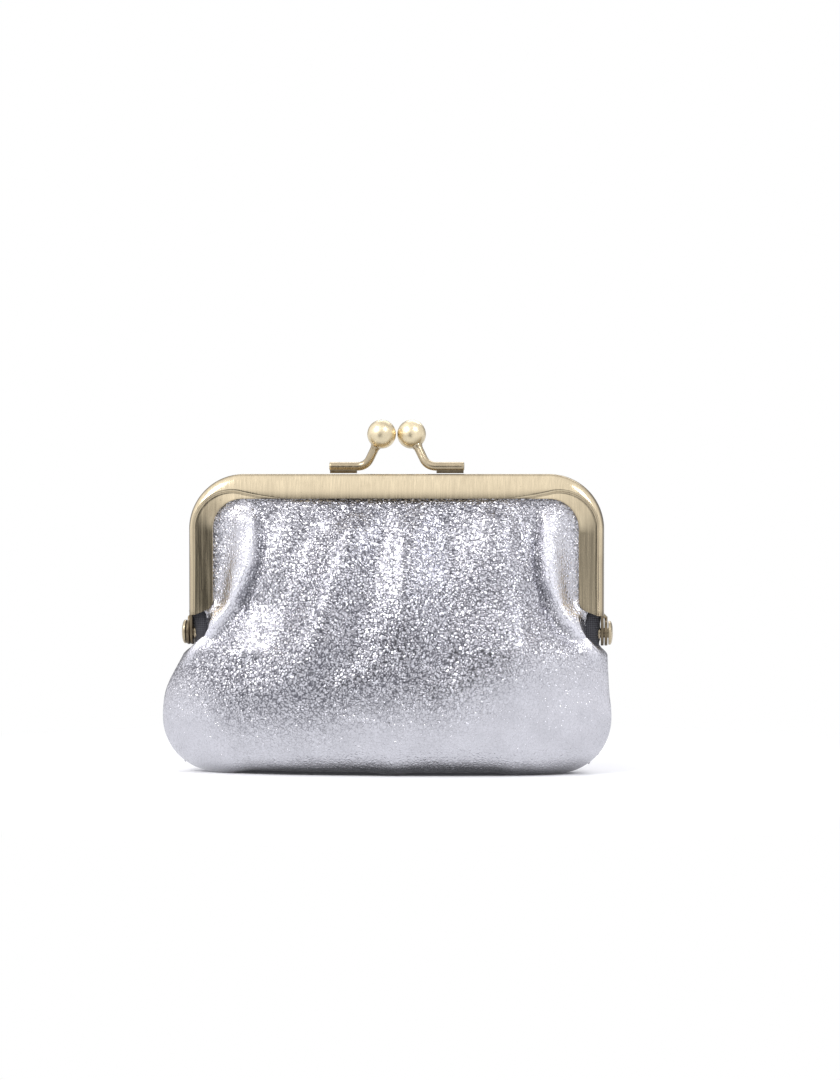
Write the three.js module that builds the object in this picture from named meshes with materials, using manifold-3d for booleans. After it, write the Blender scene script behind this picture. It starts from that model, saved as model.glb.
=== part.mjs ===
// Kiss-lock coin purse: two hinged frame halves carry a soft leather pouch, and two balls snap it shut.
// Millimetres, +Z up, +X to the right seen from the front, +Y to the back. The purse is shown closed.
// The origin is on the table, in the middle of the base.

import * as THREE from "three";
import { mergeVertices } from "three/addons/utils/BufferGeometryUtils.js";
import Module from "manifold-3d";

const wasm = await Module();
wasm.setup();

// Frame halves. Each one is a bent channel that takes the edge of the leather.
const FRAME_WIDTH = 101;
const FRAME_HEIGHT = 38.6; // hinge axis to crown
const CORNER_RADIUS = 13.4; // outside of the top corners
const CHANNEL_DEPTH = 6; // outer edge to lip
const SHEET = 0.7; // metal thickness
const EDGE_RADIUS = 2.2; // how far the rounded face falls back to the outer edge
const REAR_EDGE_RADIUS = 0.6;
const BEAD_RISE = 0.45; // how far the round bead stands proud of the flat flange
const BEAD_ON_LEG = 1.4; // width of the bead on the legs
const BEAD_TAPER_START = 24; // the bead is full this far to each side of the middle
const CREASE = 0.8; // width of the step from bead to flange
const HALVES_GAP = 0.4; // between the closed halves

// Hinge
const HINGE_HEIGHT = 34.2; // axis above the table
const LUG_RADIUS = 3.1;
const LEG_OVER_LUG = 1.2; // the channel ends this far above the round of the lug
const LEG_END_RISE = 3.6; // how far the flange's lower end sweeps up to the lip
const RIVET_RADIUS = 1.2;
const RIVET_HEAD_RADIUS = 2.9;
const RIVET_HEAD = 1.1;
const RIVET_TAIL_RADIUS = 1.9;
const RIVET_TAIL = 0.7;
const RUNNING_FIT = 0.12; // play round the rivet
const LUG_GAP = 0.2; // between the lugs, and under the rivet's head and tail

// Clasp
const BALL_RADIUS = 3.5;
const BALL_GAP = 0.2; // between the balls as they pass
const BALL_HEIGHT = 9.7; // centre above the crown
const BALL_PAST_MIDDLE = 0.8; // how far each closed ball stands over the other half
const STALK_RADIUS = 1.05;
const STALK_TILT = 27; // degrees off vertical, below the ball
const STALK_BEND = 2.3; // length of rod on each side of the bend's corner
const FOOT_LENGTH = 9; // bend's corner to the outer end
const FOOT_LAND = 0.6; // height of the narrow land that the foot stands on
const FOOT_LAND_WIDTH = 1.3;
const SPIGOT_RADIUS = 0.7;
const SPIGOT_LENGTH = 1.8;
const SPIGOT_FIT = 0.15;

// Soft parts
const LEATHER = 0.9;
const LINING = 0.35;
const CORD = 1.2; // paper cord, front to back
const CORD_HEIGHT = 2.2;
const LAYER_GAP = 0.2; // between layers, and to the channel's walls
const TUCK = 1.9; // the leather's edge lies this far in from the frame's outer edge
const NECK_PUFF = 1.8; // higher values fill the upper panels out nearer the frame
const NECK_SQUARE = 0.75; // lower values fill them out nearer the legs
const FLAT_CORNER = 0.5; // share of the panel's corners that stays flat
const NECK_WIDTH = 91.2; // upper panels at their lower edge
const NECK_DROP = 7.6; // upper panels' lower edge below the hinge axis, inside the pouch's rim
const NECK_SIDE_DROP = 2; // and at the sides, where the two panels swing close to each other
const RIM_GAP = 0.3; // upper panels to the pouch round them
const RIM_DROP = 6; // pouch's rim below the hinge axis, in the middle
const RIM_UNDER_LUG = 0.3; // and at the sides, below the lugs
const BELLY_WIDTH = 110;
const BELLY_DEPTH = 35; // at the rim
const BELLY_HEIGHT = 13.4; // where the pouch is widest
const BASE_WIDTH = 84;
const BASE_DEPTH = 20;
const RIM_WIDTH = 104.6;
const SEAM_GAP = 0.3; // between the front and back panels
const PLAN_FULLNESS = 2.5; // higher values square the pouch off, seen from above
const SEAM_SHARPNESS = 0.62; // 0.5 rounds the sides, 1 makes them sharp

// Number of steps along each kind of curve
const CORNER_STEPS = 7;
const TAPER_STEPS = 4;
const EDGE_STEPS = 5;
const CREASE_STEPS = 2;
const BEND_STEPS = 6;
const LUG_STEPS = 10;
const ROD_SIDES = 12;
const ROUND_SIDES = 24;
const PANEL_COLUMNS = 14;
const PANEL_ROWS = 8;
const POUCH_COLUMNS = 20;
const POUCH_ROWS = 9;

// Worked out from the sizes above. Depth in a half is counted forwards from its mating face.
const FRAME_TOP = HINGE_HEIGHT + FRAME_HEIGHT;
const HALF_WIDTH = FRAME_WIDTH / 2;
const REAR_WALL = SHEET;
const CORD_DEPTH = REAR_WALL + LAYER_GAP + CORD / 2;
const LINING_REAR = REAR_WALL + LAYER_GAP + CORD + LAYER_GAP;
const LEATHER_REAR = LINING_REAR + LINING + LAYER_GAP;
const LEATHER_FRONT = LEATHER_REAR + LEATHER;
const FRONT_WALL = LEATHER_FRONT + LAYER_GAP;
const CHANNEL_THICK = FRONT_WALL + SHEET + BEAD_RISE;
const MATING_FACE = HALVES_GAP / 2;
const LEG_END = HINGE_HEIGHT + LUG_RADIUS + LEG_OVER_LUG;
const LUG_STEP = SHEET + LUG_GAP;
const LINER_INSET = LEATHER + LAYER_GAP;
const RIM_SIDE_DROP = LUG_RADIUS + RIM_UNDER_LUG;
const RIM_HEIGHT = HINGE_HEIGHT - RIM_DROP;
const NECK_DEPTH = BELLY_DEPTH / 2 - RIM_GAP - LINER_INSET - LINING; // front of the upper panels
const PANEL_TOP = FRAME_TOP - TUCK;
const FREE_TOP = FRAME_TOP - CHANNEL_DEPTH;
const FREE_HALF_WIDTH = HALF_WIDTH - CHANNEL_DEPTH;

const { smoothstep, clamp, lerp, degToRad } = THREE.MathUtils;
const at = (x, y, z) => new THREE.Vector3(x, y, z);
const steps = (count) => Array.from({ length: count + 1 }, (_, i) => i / count);

const PLATE = { bevelEnabled: false, curveSegments: LUG_STEPS };

const brass = { color: 0xbfa878, roughness: 0.38, metalness: 1 };
const polished = { color: 0xcdbb90, roughness: 0.3, metalness: 1 };
const leather = { color: 0xcfcfd8, roughness: 0.35, metalness: 0.7 };
const lining = { color: 0x2b2b30, roughness: 0.85, metalness: 0 };
const paper = { color: 0xc9b591, roughness: 0.95, metalness: 0 };

// A closed mesh, turned so that its faces point outwards.
function closedMesh(points, triangles) {
  const cross = new THREE.Vector3();
  let volume = 0;
  for (const [a, b, c] of triangles) {
    volume += points[a].dot(cross.crossVectors(points[b], points[c]));
  }
  const geometry = new THREE.BufferGeometry().setFromPoints(points);
  geometry.setIndex(triangles.flatMap(([a, b, c]) => (volume > 0 ? [a, b, c] : [a, c, b])));
  return geometry;
}

// Triangles that fill a flat outline, running the same way round as the outline.
function capOf(outline) {
  const filled = THREE.ShapeUtils.triangulateShape(outline, []);
  const [a, b, c] = filled[0].map((k) => outline[k]);
  const same = THREE.ShapeUtils.isClockWise([a, b, c]) === THREE.ShapeUtils.isClockWise(outline);
  return same ? filled : filled.map(([p, q, r]) => [p, r, q]);
}

// Joins rings of points into one body. The outlines are the flat shapes of the end rings.
function loft(rings, firstOutline, lastOutline) {
  const size = rings[0].length;
  const last = (rings.length - 1) * size;
  const triangles = [];
  for (let r = 0; r + 1 < rings.length; r++) {
    for (let k = 0; k < size; k++) {
      const a = r * size + k;
      const b = r * size + ((k + 1) % size);
      triangles.push([a, b, a + size], [b, b + size, a + size]);
    }
  }
  for (const [a, b, c] of capOf(firstOutline)) triangles.push([a, c, b]);
  for (const [a, b, c] of capOf(lastOutline)) triangles.push([last + a, last + b, last + c]);
  return closedMesh(rings.flat(), triangles);
}

// A thin wall between two grids of points of the same size.
function wall(outer, inner) {
  const rows = outer.length;
  const columns = outer[0].length;
  const layer = rows * columns;
  const triangles = [];
  const quad = (a, b, c, d) => triangles.push([a, b, c], [a, c, d]);
  for (let r = 0; r + 1 < rows; r++) {
    for (let c = 0; c + 1 < columns; c++) {
      const a = r * columns + c;
      quad(a, a + 1, a + columns + 1, a + columns);
      quad(layer + a, layer + a + columns, layer + a + columns + 1, layer + a + 1);
    }
  }
  const edge = [];
  for (let c = 0; c < columns; c++) edge.push(c);
  for (let r = 1; r < rows; r++) edge.push(r * columns + columns - 1);
  for (let c = columns - 2; c >= 0; c--) edge.push((rows - 1) * columns + c);
  for (let r = rows - 2; r > 0; r--) edge.push(r * columns);
  edge.forEach((a, k) => {
    const b = edge[(k + 1) % edge.length];
    quad(b, a, layer + a, layer + b);
  });
  return closedMesh([...outer.flat(), ...inner.flat()], triangles);
}

function solid(geometry) {
  const bare = geometry.clone();
  bare.deleteAttribute("normal");
  bare.deleteAttribute("uv");
  const merged = mergeVertices(bare, 1e-4);
  return new wasm.Manifold(new wasm.Mesh({
    numProp: 3,
    vertProperties: new Float32Array(merged.attributes.position.array),
    triVerts: new Uint32Array(merged.index.array),
  }));
}

function geometryOf(body) {
  const mesh = body.getMesh();
  const geometry = new THREE.BufferGeometry();
  geometry.setAttribute("position", new THREE.BufferAttribute(mesh.vertProperties, 3));
  geometry.setIndex(new THREE.BufferAttribute(mesh.triVerts, 1));
  return geometry;
}

function piece(name, geometry, look) {
  const shown = geometry.index ? geometry.toNonIndexed() : geometry;
  shown.computeVertexNormals();
  const mesh = new THREE.Mesh(shown, new THREE.MeshStandardMaterial(look));
  mesh.name = name;
  return mesh;
}

// A plate with the given outline in the YZ plane, between two values of x.
function plateAcrossX(shape, from, to) {
  const geometry = new THREE.ExtrudeGeometry(shape, { ...PLATE, depth: to - from });
  geometry.applyMatrix4(new THREE.Matrix4().makeBasis(at(0, 1, 0), at(0, 0, 1), at(1, 0, 0)));
  return solid(geometry.translate(from, 0, 0));
}

// A plate with the given outline in the XZ plane, between two values of y.
function plateAcrossY(shape, from, to) {
  const geometry = new THREE.ExtrudeGeometry(shape, { ...PLATE, depth: to - from });
  geometry.applyMatrix4(new THREE.Matrix4().makeBasis(at(1, 0, 0), at(0, 0, 1), at(0, -1, 0)));
  return solid(geometry.translate(0, to, 0));
}

// A round bar between two points.
function bar(radius, from, to) {
  const run = to.clone().sub(from);
  const geometry = new THREE.CylinderGeometry(radius, radius, run.length(), ROUND_SIDES);
  const turn = new THREE.Quaternion().setFromUnitVectors(at(0, 1, 0), run.clone().normalize());
  const middle = from.clone().lerp(to, 0.5);
  return solid(geometry.applyQuaternion(turn).translate(middle.x, middle.y, middle.z));
}

// Stations along the outer edge of the frame, from the left leg's end to the right leg's end.
// Each has its place, the direction inwards, and its distance along the edge from the middle.
function framePath(legEnd) {
  const straight = HALF_WIDTH - CORNER_RADIUS;
  const corner = CORNER_RADIUS * Math.PI / 2;
  const half = [];
  for (const t of steps(TAPER_STEPS)) {
    const x = lerp(BEAD_TAPER_START, straight, t);
    half.push({ x, z: FRAME_TOP, inX: 0, inZ: -1, along: x });
  }
  for (const t of steps(CORNER_STEPS).slice(1)) {
    const turn = t * Math.PI / 2;
    half.push({
      x: straight + CORNER_RADIUS * Math.sin(turn),
      z: FRAME_TOP - CORNER_RADIUS * (1 - Math.cos(turn)),
      inX: -Math.sin(turn),
      inZ: -Math.cos(turn),
      along: straight + t * corner,
    });
  }
  half.push({ x: HALF_WIDTH, z: legEnd, inX: -1, inZ: 0, along: straight + 2 * corner });
  const mirrored = half.map((s) => ({ ...s, x: -s.x, inX: -s.inX }));
  return [...mirrored.reverse(), ...half];
}

// Place of a point that lies inwards from the frame's outer edge, at a depth in the front half.
function inHalf(station, inwards, depth) {
  return at(station.x + station.inX * inwards, -MATING_FACE - depth, station.z + station.inZ * inwards);
}

// The bead fills the whole bar at the crown and narrows round the corners to a rim on the legs.
function beadWidth(along) {
  const legTop = HALF_WIDTH - CORNER_RADIUS + CORNER_RADIUS * Math.PI / 2;
  return lerp(CHANNEL_DEPTH, BEAD_ON_LEG, smoothstep(along, BEAD_TAPER_START, legTop));
}

// Depth of a half's front face at a distance in from its outer edge.
function faceDepth(inwards, bead) {
  const reach = Math.max(1 - inwards / bead, 0);
  const round = CHANNEL_THICK - EDGE_RADIUS * (1 - Math.sqrt(1 - reach ** 2));
  return round - BEAD_RISE * smoothstep(inwards, bead, bead + CREASE);
}

// Outline of the channel, as distance inwards and depth: rear wall, crown, front face, then the inside.
function channelSection(bead) {
  const apart = CREASE / 4;
  const edge = Math.min(bead, CHANNEL_DEPTH - CREASE - 2 * apart);
  const crease = clamp(bead, edge + apart, CHANNEL_DEPTH - CREASE - apart);
  const face = [];
  for (const t of steps(EDGE_STEPS).slice(1)) face.push(edge * (1 - Math.cos(t * Math.PI / 2)));
  for (const t of steps(CREASE_STEPS)) face.push(crease + CREASE * t);
  face.push(CHANNEL_DEPTH);
  const soft = REAR_EDGE_RADIUS * (1 - Math.SQRT1_2);
  return [
    [CHANNEL_DEPTH, 0],
    [REAR_EDGE_RADIUS, 0],
    [soft, soft],
    [0, REAR_EDGE_RADIUS],
    [0, CHANNEL_THICK - EDGE_RADIUS],
    ...face.map((inwards) => [inwards, faceDepth(inwards, bead)]),
    [CHANNEL_DEPTH, FRONT_WALL],
    [EDGE_RADIUS * 0.9, FRONT_WALL],
    [SHEET, CHANNEL_THICK - EDGE_RADIUS],
    [SHEET, REAR_WALL],
    [CHANNEL_DEPTH, REAR_WALL],
  ].map(([inwards, depth]) => new THREE.Vector2(inwards, depth));
}

// Outline of a lug from the side: the leg's outer wall runs down into a round about the hinge axis.
function lugShape(top) {
  const front = -MATING_FACE - CHANNEL_THICK + EDGE_RADIUS * 0.6;
  const shape = new THREE.Shape();
  shape.moveTo(-MATING_FACE, top);
  shape.lineTo(front, top);
  shape.quadraticCurveTo(-LUG_RADIUS, HINGE_HEIGHT + LUG_RADIUS, -LUG_RADIUS, HINGE_HEIGHT);
  shape.absarc(0, HINGE_HEIGHT, LUG_RADIUS, Math.PI, 2.5 * Math.PI, false);
  shape.lineTo(-MATING_FACE, HINGE_HEIGHT + LUG_RADIUS);
  return shape;
}

// Cuts the lower end of a leg's flange to an S that leaves the outer wall standing. Side is 1 or -1.
function legEndCut(side) {
  const wallFace = HALF_WIDTH - SHEET;
  const lip = HALF_WIDTH - CHANNEL_DEPTH;
  const below = HINGE_HEIGHT - LUG_RADIUS;
  const shape = new THREE.Shape();
  shape.moveTo(side * wallFace, below);
  shape.lineTo(side * wallFace, LEG_END - LEG_OVER_LUG);
  shape.bezierCurveTo(
    side * lerp(wallFace, lip, 0.06), LEG_END + LEG_OVER_LUG,
    side * lerp(wallFace, lip, 0.96), LEG_END,
    side * lip, LEG_END + LEG_END_RISE,
  );
  shape.lineTo(side * (lip - CHANNEL_DEPTH), LEG_END + LEG_END_RISE);
  shape.lineTo(side * (lip - CHANNEL_DEPTH), below);
  return plateAcrossY(shape, -2 * CHANNEL_THICK, CHANNEL_THICK);
}

// Joins a leg to a lug that is stepped outwards. Side is 1 or -1.
function lugJoggle(side, step, top) {
  const low = LEG_END - step;
  const shape = new THREE.Shape();
  shape.moveTo(side * (HALF_WIDTH - SHEET), top);
  shape.lineTo(side * HALF_WIDTH, top);
  shape.lineTo(side * HALF_WIDTH, LEG_END + SHEET / 2);
  shape.lineTo(side * (HALF_WIDTH + step), low + SHEET / 2);
  shape.lineTo(side * (HALF_WIDTH + step), low - SHEET);
  shape.lineTo(side * (HALF_WIDTH + step - SHEET), low - SHEET);
  shape.lineTo(side * (HALF_WIDTH + step - SHEET), low);
  shape.lineTo(side * (HALF_WIDTH - SHEET), LEG_END);
  return plateAcrossY(shape, -MATING_FACE - CHANNEL_THICK + EDGE_RADIUS * 0.6, -MATING_FACE);
}

// One frame half, with its lugs moved outwards by a step.
function frameGeometry(step) {
  const stations = framePath(LEG_END);
  const sections = stations.map((s) => channelSection(beadWidth(s.along)));
  const rings = stations.map((s, i) => sections[i].map((p) => inHalf(s, p.x, p.y)));
  let frame = solid(loft(rings, sections[0], sections[sections.length - 1]));
  const joint = LEG_END + LEG_OVER_LUG;
  for (const side of [1, -1]) {
    const faces = [side * (HALF_WIDTH + step - SHEET), side * (HALF_WIDTH + step)];
    const lug = lugShape(step > 0 ? LEG_END - step + SHEET / 2 : joint);
    frame = frame.subtract(legEndCut(side)).add(plateAcrossX(lug, Math.min(...faces), Math.max(...faces)));
    if (step > 0) frame = frame.add(lugJoggle(side, step, joint));
  }
  const beyond = HALF_WIDTH + step + 1;
  const hole = bar(RIVET_RADIUS + RUNNING_FIT, at(-beyond, 0, HINGE_HEIGHT), at(beyond, 0, HINGE_HEIGHT));
  return geometryOf(frame.subtract(hole));
}

// A rivet along the hinge axis: domed head outside, shank through both lugs, flat tail inside.
function rivetGeometry(side) {
  const headFace = HALF_WIDTH + LUG_STEP + LUG_GAP;
  const tailFace = HALF_WIDTH - SHEET - LUG_GAP;
  const profile = [
    new THREE.Vector2(0, tailFace - RIVET_TAIL),
    new THREE.Vector2(RIVET_TAIL_RADIUS * 0.8, tailFace - RIVET_TAIL),
    new THREE.Vector2(RIVET_TAIL_RADIUS, tailFace - RIVET_TAIL / 2),
    new THREE.Vector2(RIVET_TAIL_RADIUS, tailFace),
    new THREE.Vector2(RIVET_RADIUS, tailFace),
    new THREE.Vector2(RIVET_RADIUS, headFace),
    new THREE.Vector2(RIVET_HEAD_RADIUS, headFace),
  ];
  for (const t of steps(4)) {
    const turn = t * Math.PI / 2;
    const dome = RIVET_HEAD * 0.65 * Math.sin(turn);
    profile.push(new THREE.Vector2(RIVET_HEAD_RADIUS * Math.cos(turn), headFace + RIVET_HEAD * 0.35 + dome));
  }
  profile[profile.length - 1].x = 0;
  const geometry = new THREE.LatheGeometry(profile, ROUND_SIDES);
  geometry.rotateZ(-side * Math.PI / 2);
  return geometryOf(solid(geometry.translate(0, 0, HINGE_HEIGHT)));
}

// Places that the clasp of the front half is drawn from.
function claspPoints() {
  const footDepth = (REAR_EDGE_RADIUS + CHANNEL_THICK - EDGE_RADIUS) / 2;
  const footHeight = FRAME_TOP + LAYER_GAP + FOOT_LAND + STALK_RADIUS;
  const ball = at(BALL_RADIUS + BALL_GAP / 2, BALL_PAST_MIDDLE, FRAME_TOP + BALL_HEIGHT);
  const run = (ball.z - footHeight) * Math.tan(degToRad(STALK_TILT));
  const corner = at(ball.x + run, -MATING_FACE - footDepth, footHeight);
  const up = ball.clone().sub(corner).normalize();
  return { ball, corner, up };
}

// Round rod that lies along the crown, bends up and ends in a spigot inside the ball.
function stalkGeometry() {
  const { ball, corner, up } = claspPoints();
  const out = at(1, 0, 0);
  const footEnd = corner.clone().addScaledVector(out, FOOT_LENGTH);
  const bendStart = corner.clone().addScaledVector(out, STALK_BEND);
  const bendEnd = corner.clone().addScaledVector(up, STALK_BEND);
  const shoulder = ball.clone().addScaledVector(up, -BALL_RADIUS - SPIGOT_FIT);
  const bend = new THREE.QuadraticBezierCurve3(bendStart, corner, bendEnd);
  const centres = [footEnd, ...bend.getPoints(BEND_STEPS), shoulder];
  const tangents = [at(-1, 0, 0), ...steps(BEND_STEPS).map((t) => bend.getTangent(t)), up];
  const outline = [];
  for (const t of steps(ROD_SIDES).slice(1)) {
    const turn = t * 2 * Math.PI;
    outline.push(new THREE.Vector2(Math.cos(turn) * STALK_RADIUS, Math.sin(turn) * STALK_RADIUS));
  }
  const rings = centres.map((centre, i) => {
    const across = at(0, 1, 0).addScaledVector(tangents[i], -tangents[i].y).normalize();
    const over = across.clone().cross(tangents[i]);
    return outline.map((p) => centre.clone().addScaledVector(across, p.x).addScaledVector(over, p.y));
  });
  const rod = solid(loft(rings, outline, outline));
  const spigotEnd = shoulder.clone().addScaledVector(up, SPIGOT_LENGTH);
  const spigot = bar(SPIGOT_RADIUS, shoulder.clone().addScaledVector(up, -STALK_RADIUS), spigotEnd);
  const landLength = FOOT_LENGTH - STALK_BEND;
  const landHeight = FOOT_LAND + STALK_RADIUS / 2;
  const land = new THREE.BoxGeometry(landLength, FOOT_LAND_WIDTH, landHeight);
  const landBase = corner.z - STALK_RADIUS - FOOT_LAND;
  land.translate((footEnd.x + bendStart.x) / 2 - SPIGOT_FIT, corner.y, landBase + landHeight / 2);
  return geometryOf(rod.add(spigot).add(solid(land)));
}

// Ball with a blind socket for the stalk's spigot.
function ballGeometry() {
  const { ball, up } = claspPoints();
  const sphere = new THREE.SphereGeometry(BALL_RADIUS, ROUND_SIDES, ROUND_SIDES / 2);
  sphere.rotateX(Math.PI / 2).translate(ball.x, ball.y, ball.z);
  const mouth = ball.clone().addScaledVector(up, -BALL_RADIUS - 1);
  const bottom = ball.clone().addScaledVector(up, SPIGOT_LENGTH - BALL_RADIUS + SPIGOT_FIT);
  return geometryOf(solid(sphere).subtract(bar(SPIGOT_RADIUS + SPIGOT_FIT, mouth, bottom)));
}

// Flattened cord that follows the channel and wedges the leather and the lining in it.
function cordGeometry() {
  const outline = [];
  for (const t of steps(8).slice(1)) {
    const turn = t * 2 * Math.PI;
    outline.push(new THREE.Vector2(Math.cos(turn) * CORD_HEIGHT / 2, Math.sin(turn) * CORD / 2));
  }
  const middle = (SHEET + CHANNEL_DEPTH) / 2;
  const stations = framePath(LEG_END + LEG_END_RISE);
  const rings = stations.map((s) => outline.map((p) => inHalf(s, middle + p.x, CORD_DEPTH + p.y)));
  return loft(rings, outline, outline);
}

// Half width of an upper panel at a height: it fills the channel, and tapers in below the legs.
function panelHalfWidth(z) {
  const above = z - (FRAME_TOP - CORNER_RADIUS);
  if (above > 0) {
    const radius = CORNER_RADIUS - TUCK;
    return HALF_WIDTH - CORNER_RADIUS + Math.sqrt(Math.max(radius ** 2 - above ** 2, 0));
  }
  return lerp(NECK_WIDTH / 2, HALF_WIDTH - TUCK, smoothstep(z, HINGE_HEIGHT, LEG_END + LEG_END_RISE));
}

// How far an upper panel stands forward of its place in the channel. It puffs out below the frame,
// and stays flat in the frame's corners.
function panelBulge(x, z) {
  const across = Math.abs(x / FREE_HALF_WIDTH);
  const down = clamp((FREE_TOP - z) / (FREE_TOP - HINGE_HEIGHT), 0, 1);
  const plan = Math.max(1 - across ** PLAN_FULLNESS, 0) ** NECK_SQUARE;
  const puff = 1 - (1 - down) ** NECK_PUFF;
  const corner = Math.max(2 * across - 1, 0) * Math.max(1 - 2 * down, 0);
  return (NECK_DEPTH - MATING_FACE - LEATHER_FRONT) * plan * puff * clamp(1 - corner / FLAT_CORNER, 0, 1);
}

// Height of the pouch's rim at a share of its half width. It dips to pass below the lugs.
function rimHeight(across) {
  const side = smoothstep(Math.abs(across), 0.5, 0.94);
  return HINGE_HEIGHT - lerp(RIM_DROP, RIM_SIDE_DROP, side);
}

// Height of an upper panel's lower edge, which hangs inside the pouch's rim.
function neckHeight(x) {
  const side = smoothstep(Math.abs(x / FREE_HALF_WIDTH), 0.84, 1);
  return HINGE_HEIGHT - lerp(NECK_DROP, NECK_SIDE_DROP, side);
}

// An upper panel between two depths in the channel.
function upperPanel(frontDepth, rearDepth) {
  const grid = (depth) => {
    const row = (level, height) => {
      const width = panelHalfWidth(level);
      const free = Math.min(FREE_HALF_WIDTH, width - LEATHER);
      const columns = [-width, ...steps(PANEL_COLUMNS).map((t) => free * (2 * t - 1)), width];
      return columns.map((x) => at(x, -MATING_FACE - depth - panelBulge(x, height(x)), height(x)));
    };
    const free = steps(PANEL_ROWS).map((up) => {
      return row(lerp(HINGE_HEIGHT, FREE_TOP, up), (x) => lerp(neckHeight(x), FREE_TOP, up));
    });
    return [...free, row(PANEL_TOP, () => PANEL_TOP)];
  };
  return wall(grid(frontDepth), grid(rearDepth));
}

// Size of the pouch at a height, as it rounds out from the base to its fullest place.
function roundedOut(z, fullest, base, belly) {
  const short = Math.max(1 - z / fullest, 0);
  return lerp(base, belly, Math.sqrt(1 - short ** 2));
}

function pouchWidth(z) {
  const up = Math.max((z - BELLY_HEIGHT) / (RIM_HEIGHT - BELLY_HEIGHT), 0);
  return lerp(roundedOut(z, BELLY_HEIGHT, BASE_WIDTH, BELLY_WIDTH), RIM_WIDTH, up ** 1.9);
}

// One surface of the front of the pouch, moved in from the outside of the leather by an inset.
// Rows run from the rim down to the edge of the base and then to the seam under it.
function pouchSurface(inset, drop) {
  const seam = -SEAM_GAP / 2;
  const columns = steps(POUCH_COLUMNS).map((t) => Math.sin((t - 0.5) * Math.PI));
  const rows = steps(POUCH_ROWS).map((t) => columns.map((across) => {
    const rim = rimHeight(across) - drop;
    const z = rim * (1 - Math.sin(t * Math.PI / 2));
    const width = pouchWidth(z) / 2 - inset;
    const depth = roundedOut(z, RIM_HEIGHT, BASE_DEPTH, BELLY_DEPTH) / 2 - inset;
    const plan = Math.max(1 - Math.abs(across) ** PLAN_FULLNESS, 0) ** SEAM_SHARPNESS;
    return at(width * across, seam - depth * plan, lerp(inset, rim, z / rim));
  }));
  const foot = BASE_WIDTH / 2 - inset - BASE_DEPTH / 4;
  rows.push(columns.map((across) => at(foot * across, seam, inset)));
  return rows;
}

// Front of the pouch, between two insets from the outside of the leather.
function lowerPanel(outside, inside, drop) {
  return wall(pouchSurface(outside, drop), pouchSurface(inside, drop));
}

function frameHalf(side, step) {
  const half = new THREE.Group();
  half.name = `${side}_half`;
  half.add(piece(`${side}_frame`, frameGeometry(step), brass));
  half.add(piece(`${side}_clasp_stalk`, stalkGeometry(), polished));
  half.add(piece(`${side}_clasp_ball`, ballGeometry(), polished));
  half.add(piece(`${side}_paper_cord`, cordGeometry(), paper));
  half.add(piece(`${side}_leather_upper`, upperPanel(LEATHER_FRONT, LEATHER_REAR), leather));
  half.add(piece(`${side}_lining_upper`, upperPanel(LINING_REAR + LINING, LINING_REAR), lining));
  return half;
}

function pouchHalf(side) {
  const half = new THREE.Group();
  half.name = `${side}_pouch`;
  half.add(piece(`${side}_leather_lower`, lowerPanel(0, LEATHER, 0), leather));
  half.add(piece(`${side}_lining_lower`, lowerPanel(LINER_INSET, LINER_INSET + LINING, LINER_INSET), lining));
  return half;
}

const purse = new THREE.Group();
purse.name = "coin_purse";
const backHalf = frameHalf("back", LUG_STEP);
const backPouch = pouchHalf("back");
backHalf.rotation.z = Math.PI;
backPouch.rotation.z = Math.PI;
purse.add(frameHalf("front", 0), backHalf, pouchHalf("front"), backPouch);
purse.add(piece("right_hinge_rivet", rivetGeometry(1), polished));
purse.add(piece("left_hinge_rivet", rivetGeometry(-1), polished));

export default purse;
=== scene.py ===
import math
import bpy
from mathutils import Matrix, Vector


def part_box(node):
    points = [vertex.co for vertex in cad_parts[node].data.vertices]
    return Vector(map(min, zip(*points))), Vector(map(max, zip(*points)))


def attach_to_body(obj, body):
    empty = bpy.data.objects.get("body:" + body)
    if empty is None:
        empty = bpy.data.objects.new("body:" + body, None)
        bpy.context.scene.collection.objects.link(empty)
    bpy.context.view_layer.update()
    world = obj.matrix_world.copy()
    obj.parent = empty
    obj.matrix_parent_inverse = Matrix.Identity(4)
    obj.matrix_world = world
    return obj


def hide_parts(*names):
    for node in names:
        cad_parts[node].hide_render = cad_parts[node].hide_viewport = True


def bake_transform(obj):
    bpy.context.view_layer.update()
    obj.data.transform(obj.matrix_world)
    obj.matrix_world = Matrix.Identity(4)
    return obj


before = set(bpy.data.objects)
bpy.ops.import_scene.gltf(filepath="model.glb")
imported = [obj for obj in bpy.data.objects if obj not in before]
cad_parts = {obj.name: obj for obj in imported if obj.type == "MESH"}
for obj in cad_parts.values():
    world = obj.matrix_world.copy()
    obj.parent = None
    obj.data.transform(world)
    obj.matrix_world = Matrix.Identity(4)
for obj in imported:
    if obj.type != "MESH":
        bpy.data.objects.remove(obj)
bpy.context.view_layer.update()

from types import SimpleNamespace

import bpy
import numpy as np
from bpy.props import FloatProperty, FloatVectorProperty, PointerProperty
from mathutils import Vector, noise

bl_info = {
    "name": "Clasp Coin Purse",
    "version": (1, 0, 0),
    "blender": (4, 5, 0),
    "location": "View3D > Sidebar > Purse",
    "description": "Builds the visible pieces of a small leather purse on its hinged clasp frame",
    "category": "Add Mesh",
}

# Mesh code works in millimetres and build_mesh turns them into metres.
MM = 0.001
HALVES = {"front": 1, "back": -1}


def length(name, text, millimetres):
    return FloatProperty(name=name, description=text, default=millimetres * MM, unit="LENGTH", precision=5)


def share(name, text, value):
    return FloatProperty(name=name, description=text, default=value, min=0.0, max=1.0, subtype="FACTOR")


def power(name, text, watts):
    return FloatProperty(name=name, description=text, default=watts, unit="POWER")


def colour(name, text, value):
    return FloatVectorProperty(name=name, description=text, default=value, size=3, min=0.0, max=1.0,
                               subtype="COLOR")


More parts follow.
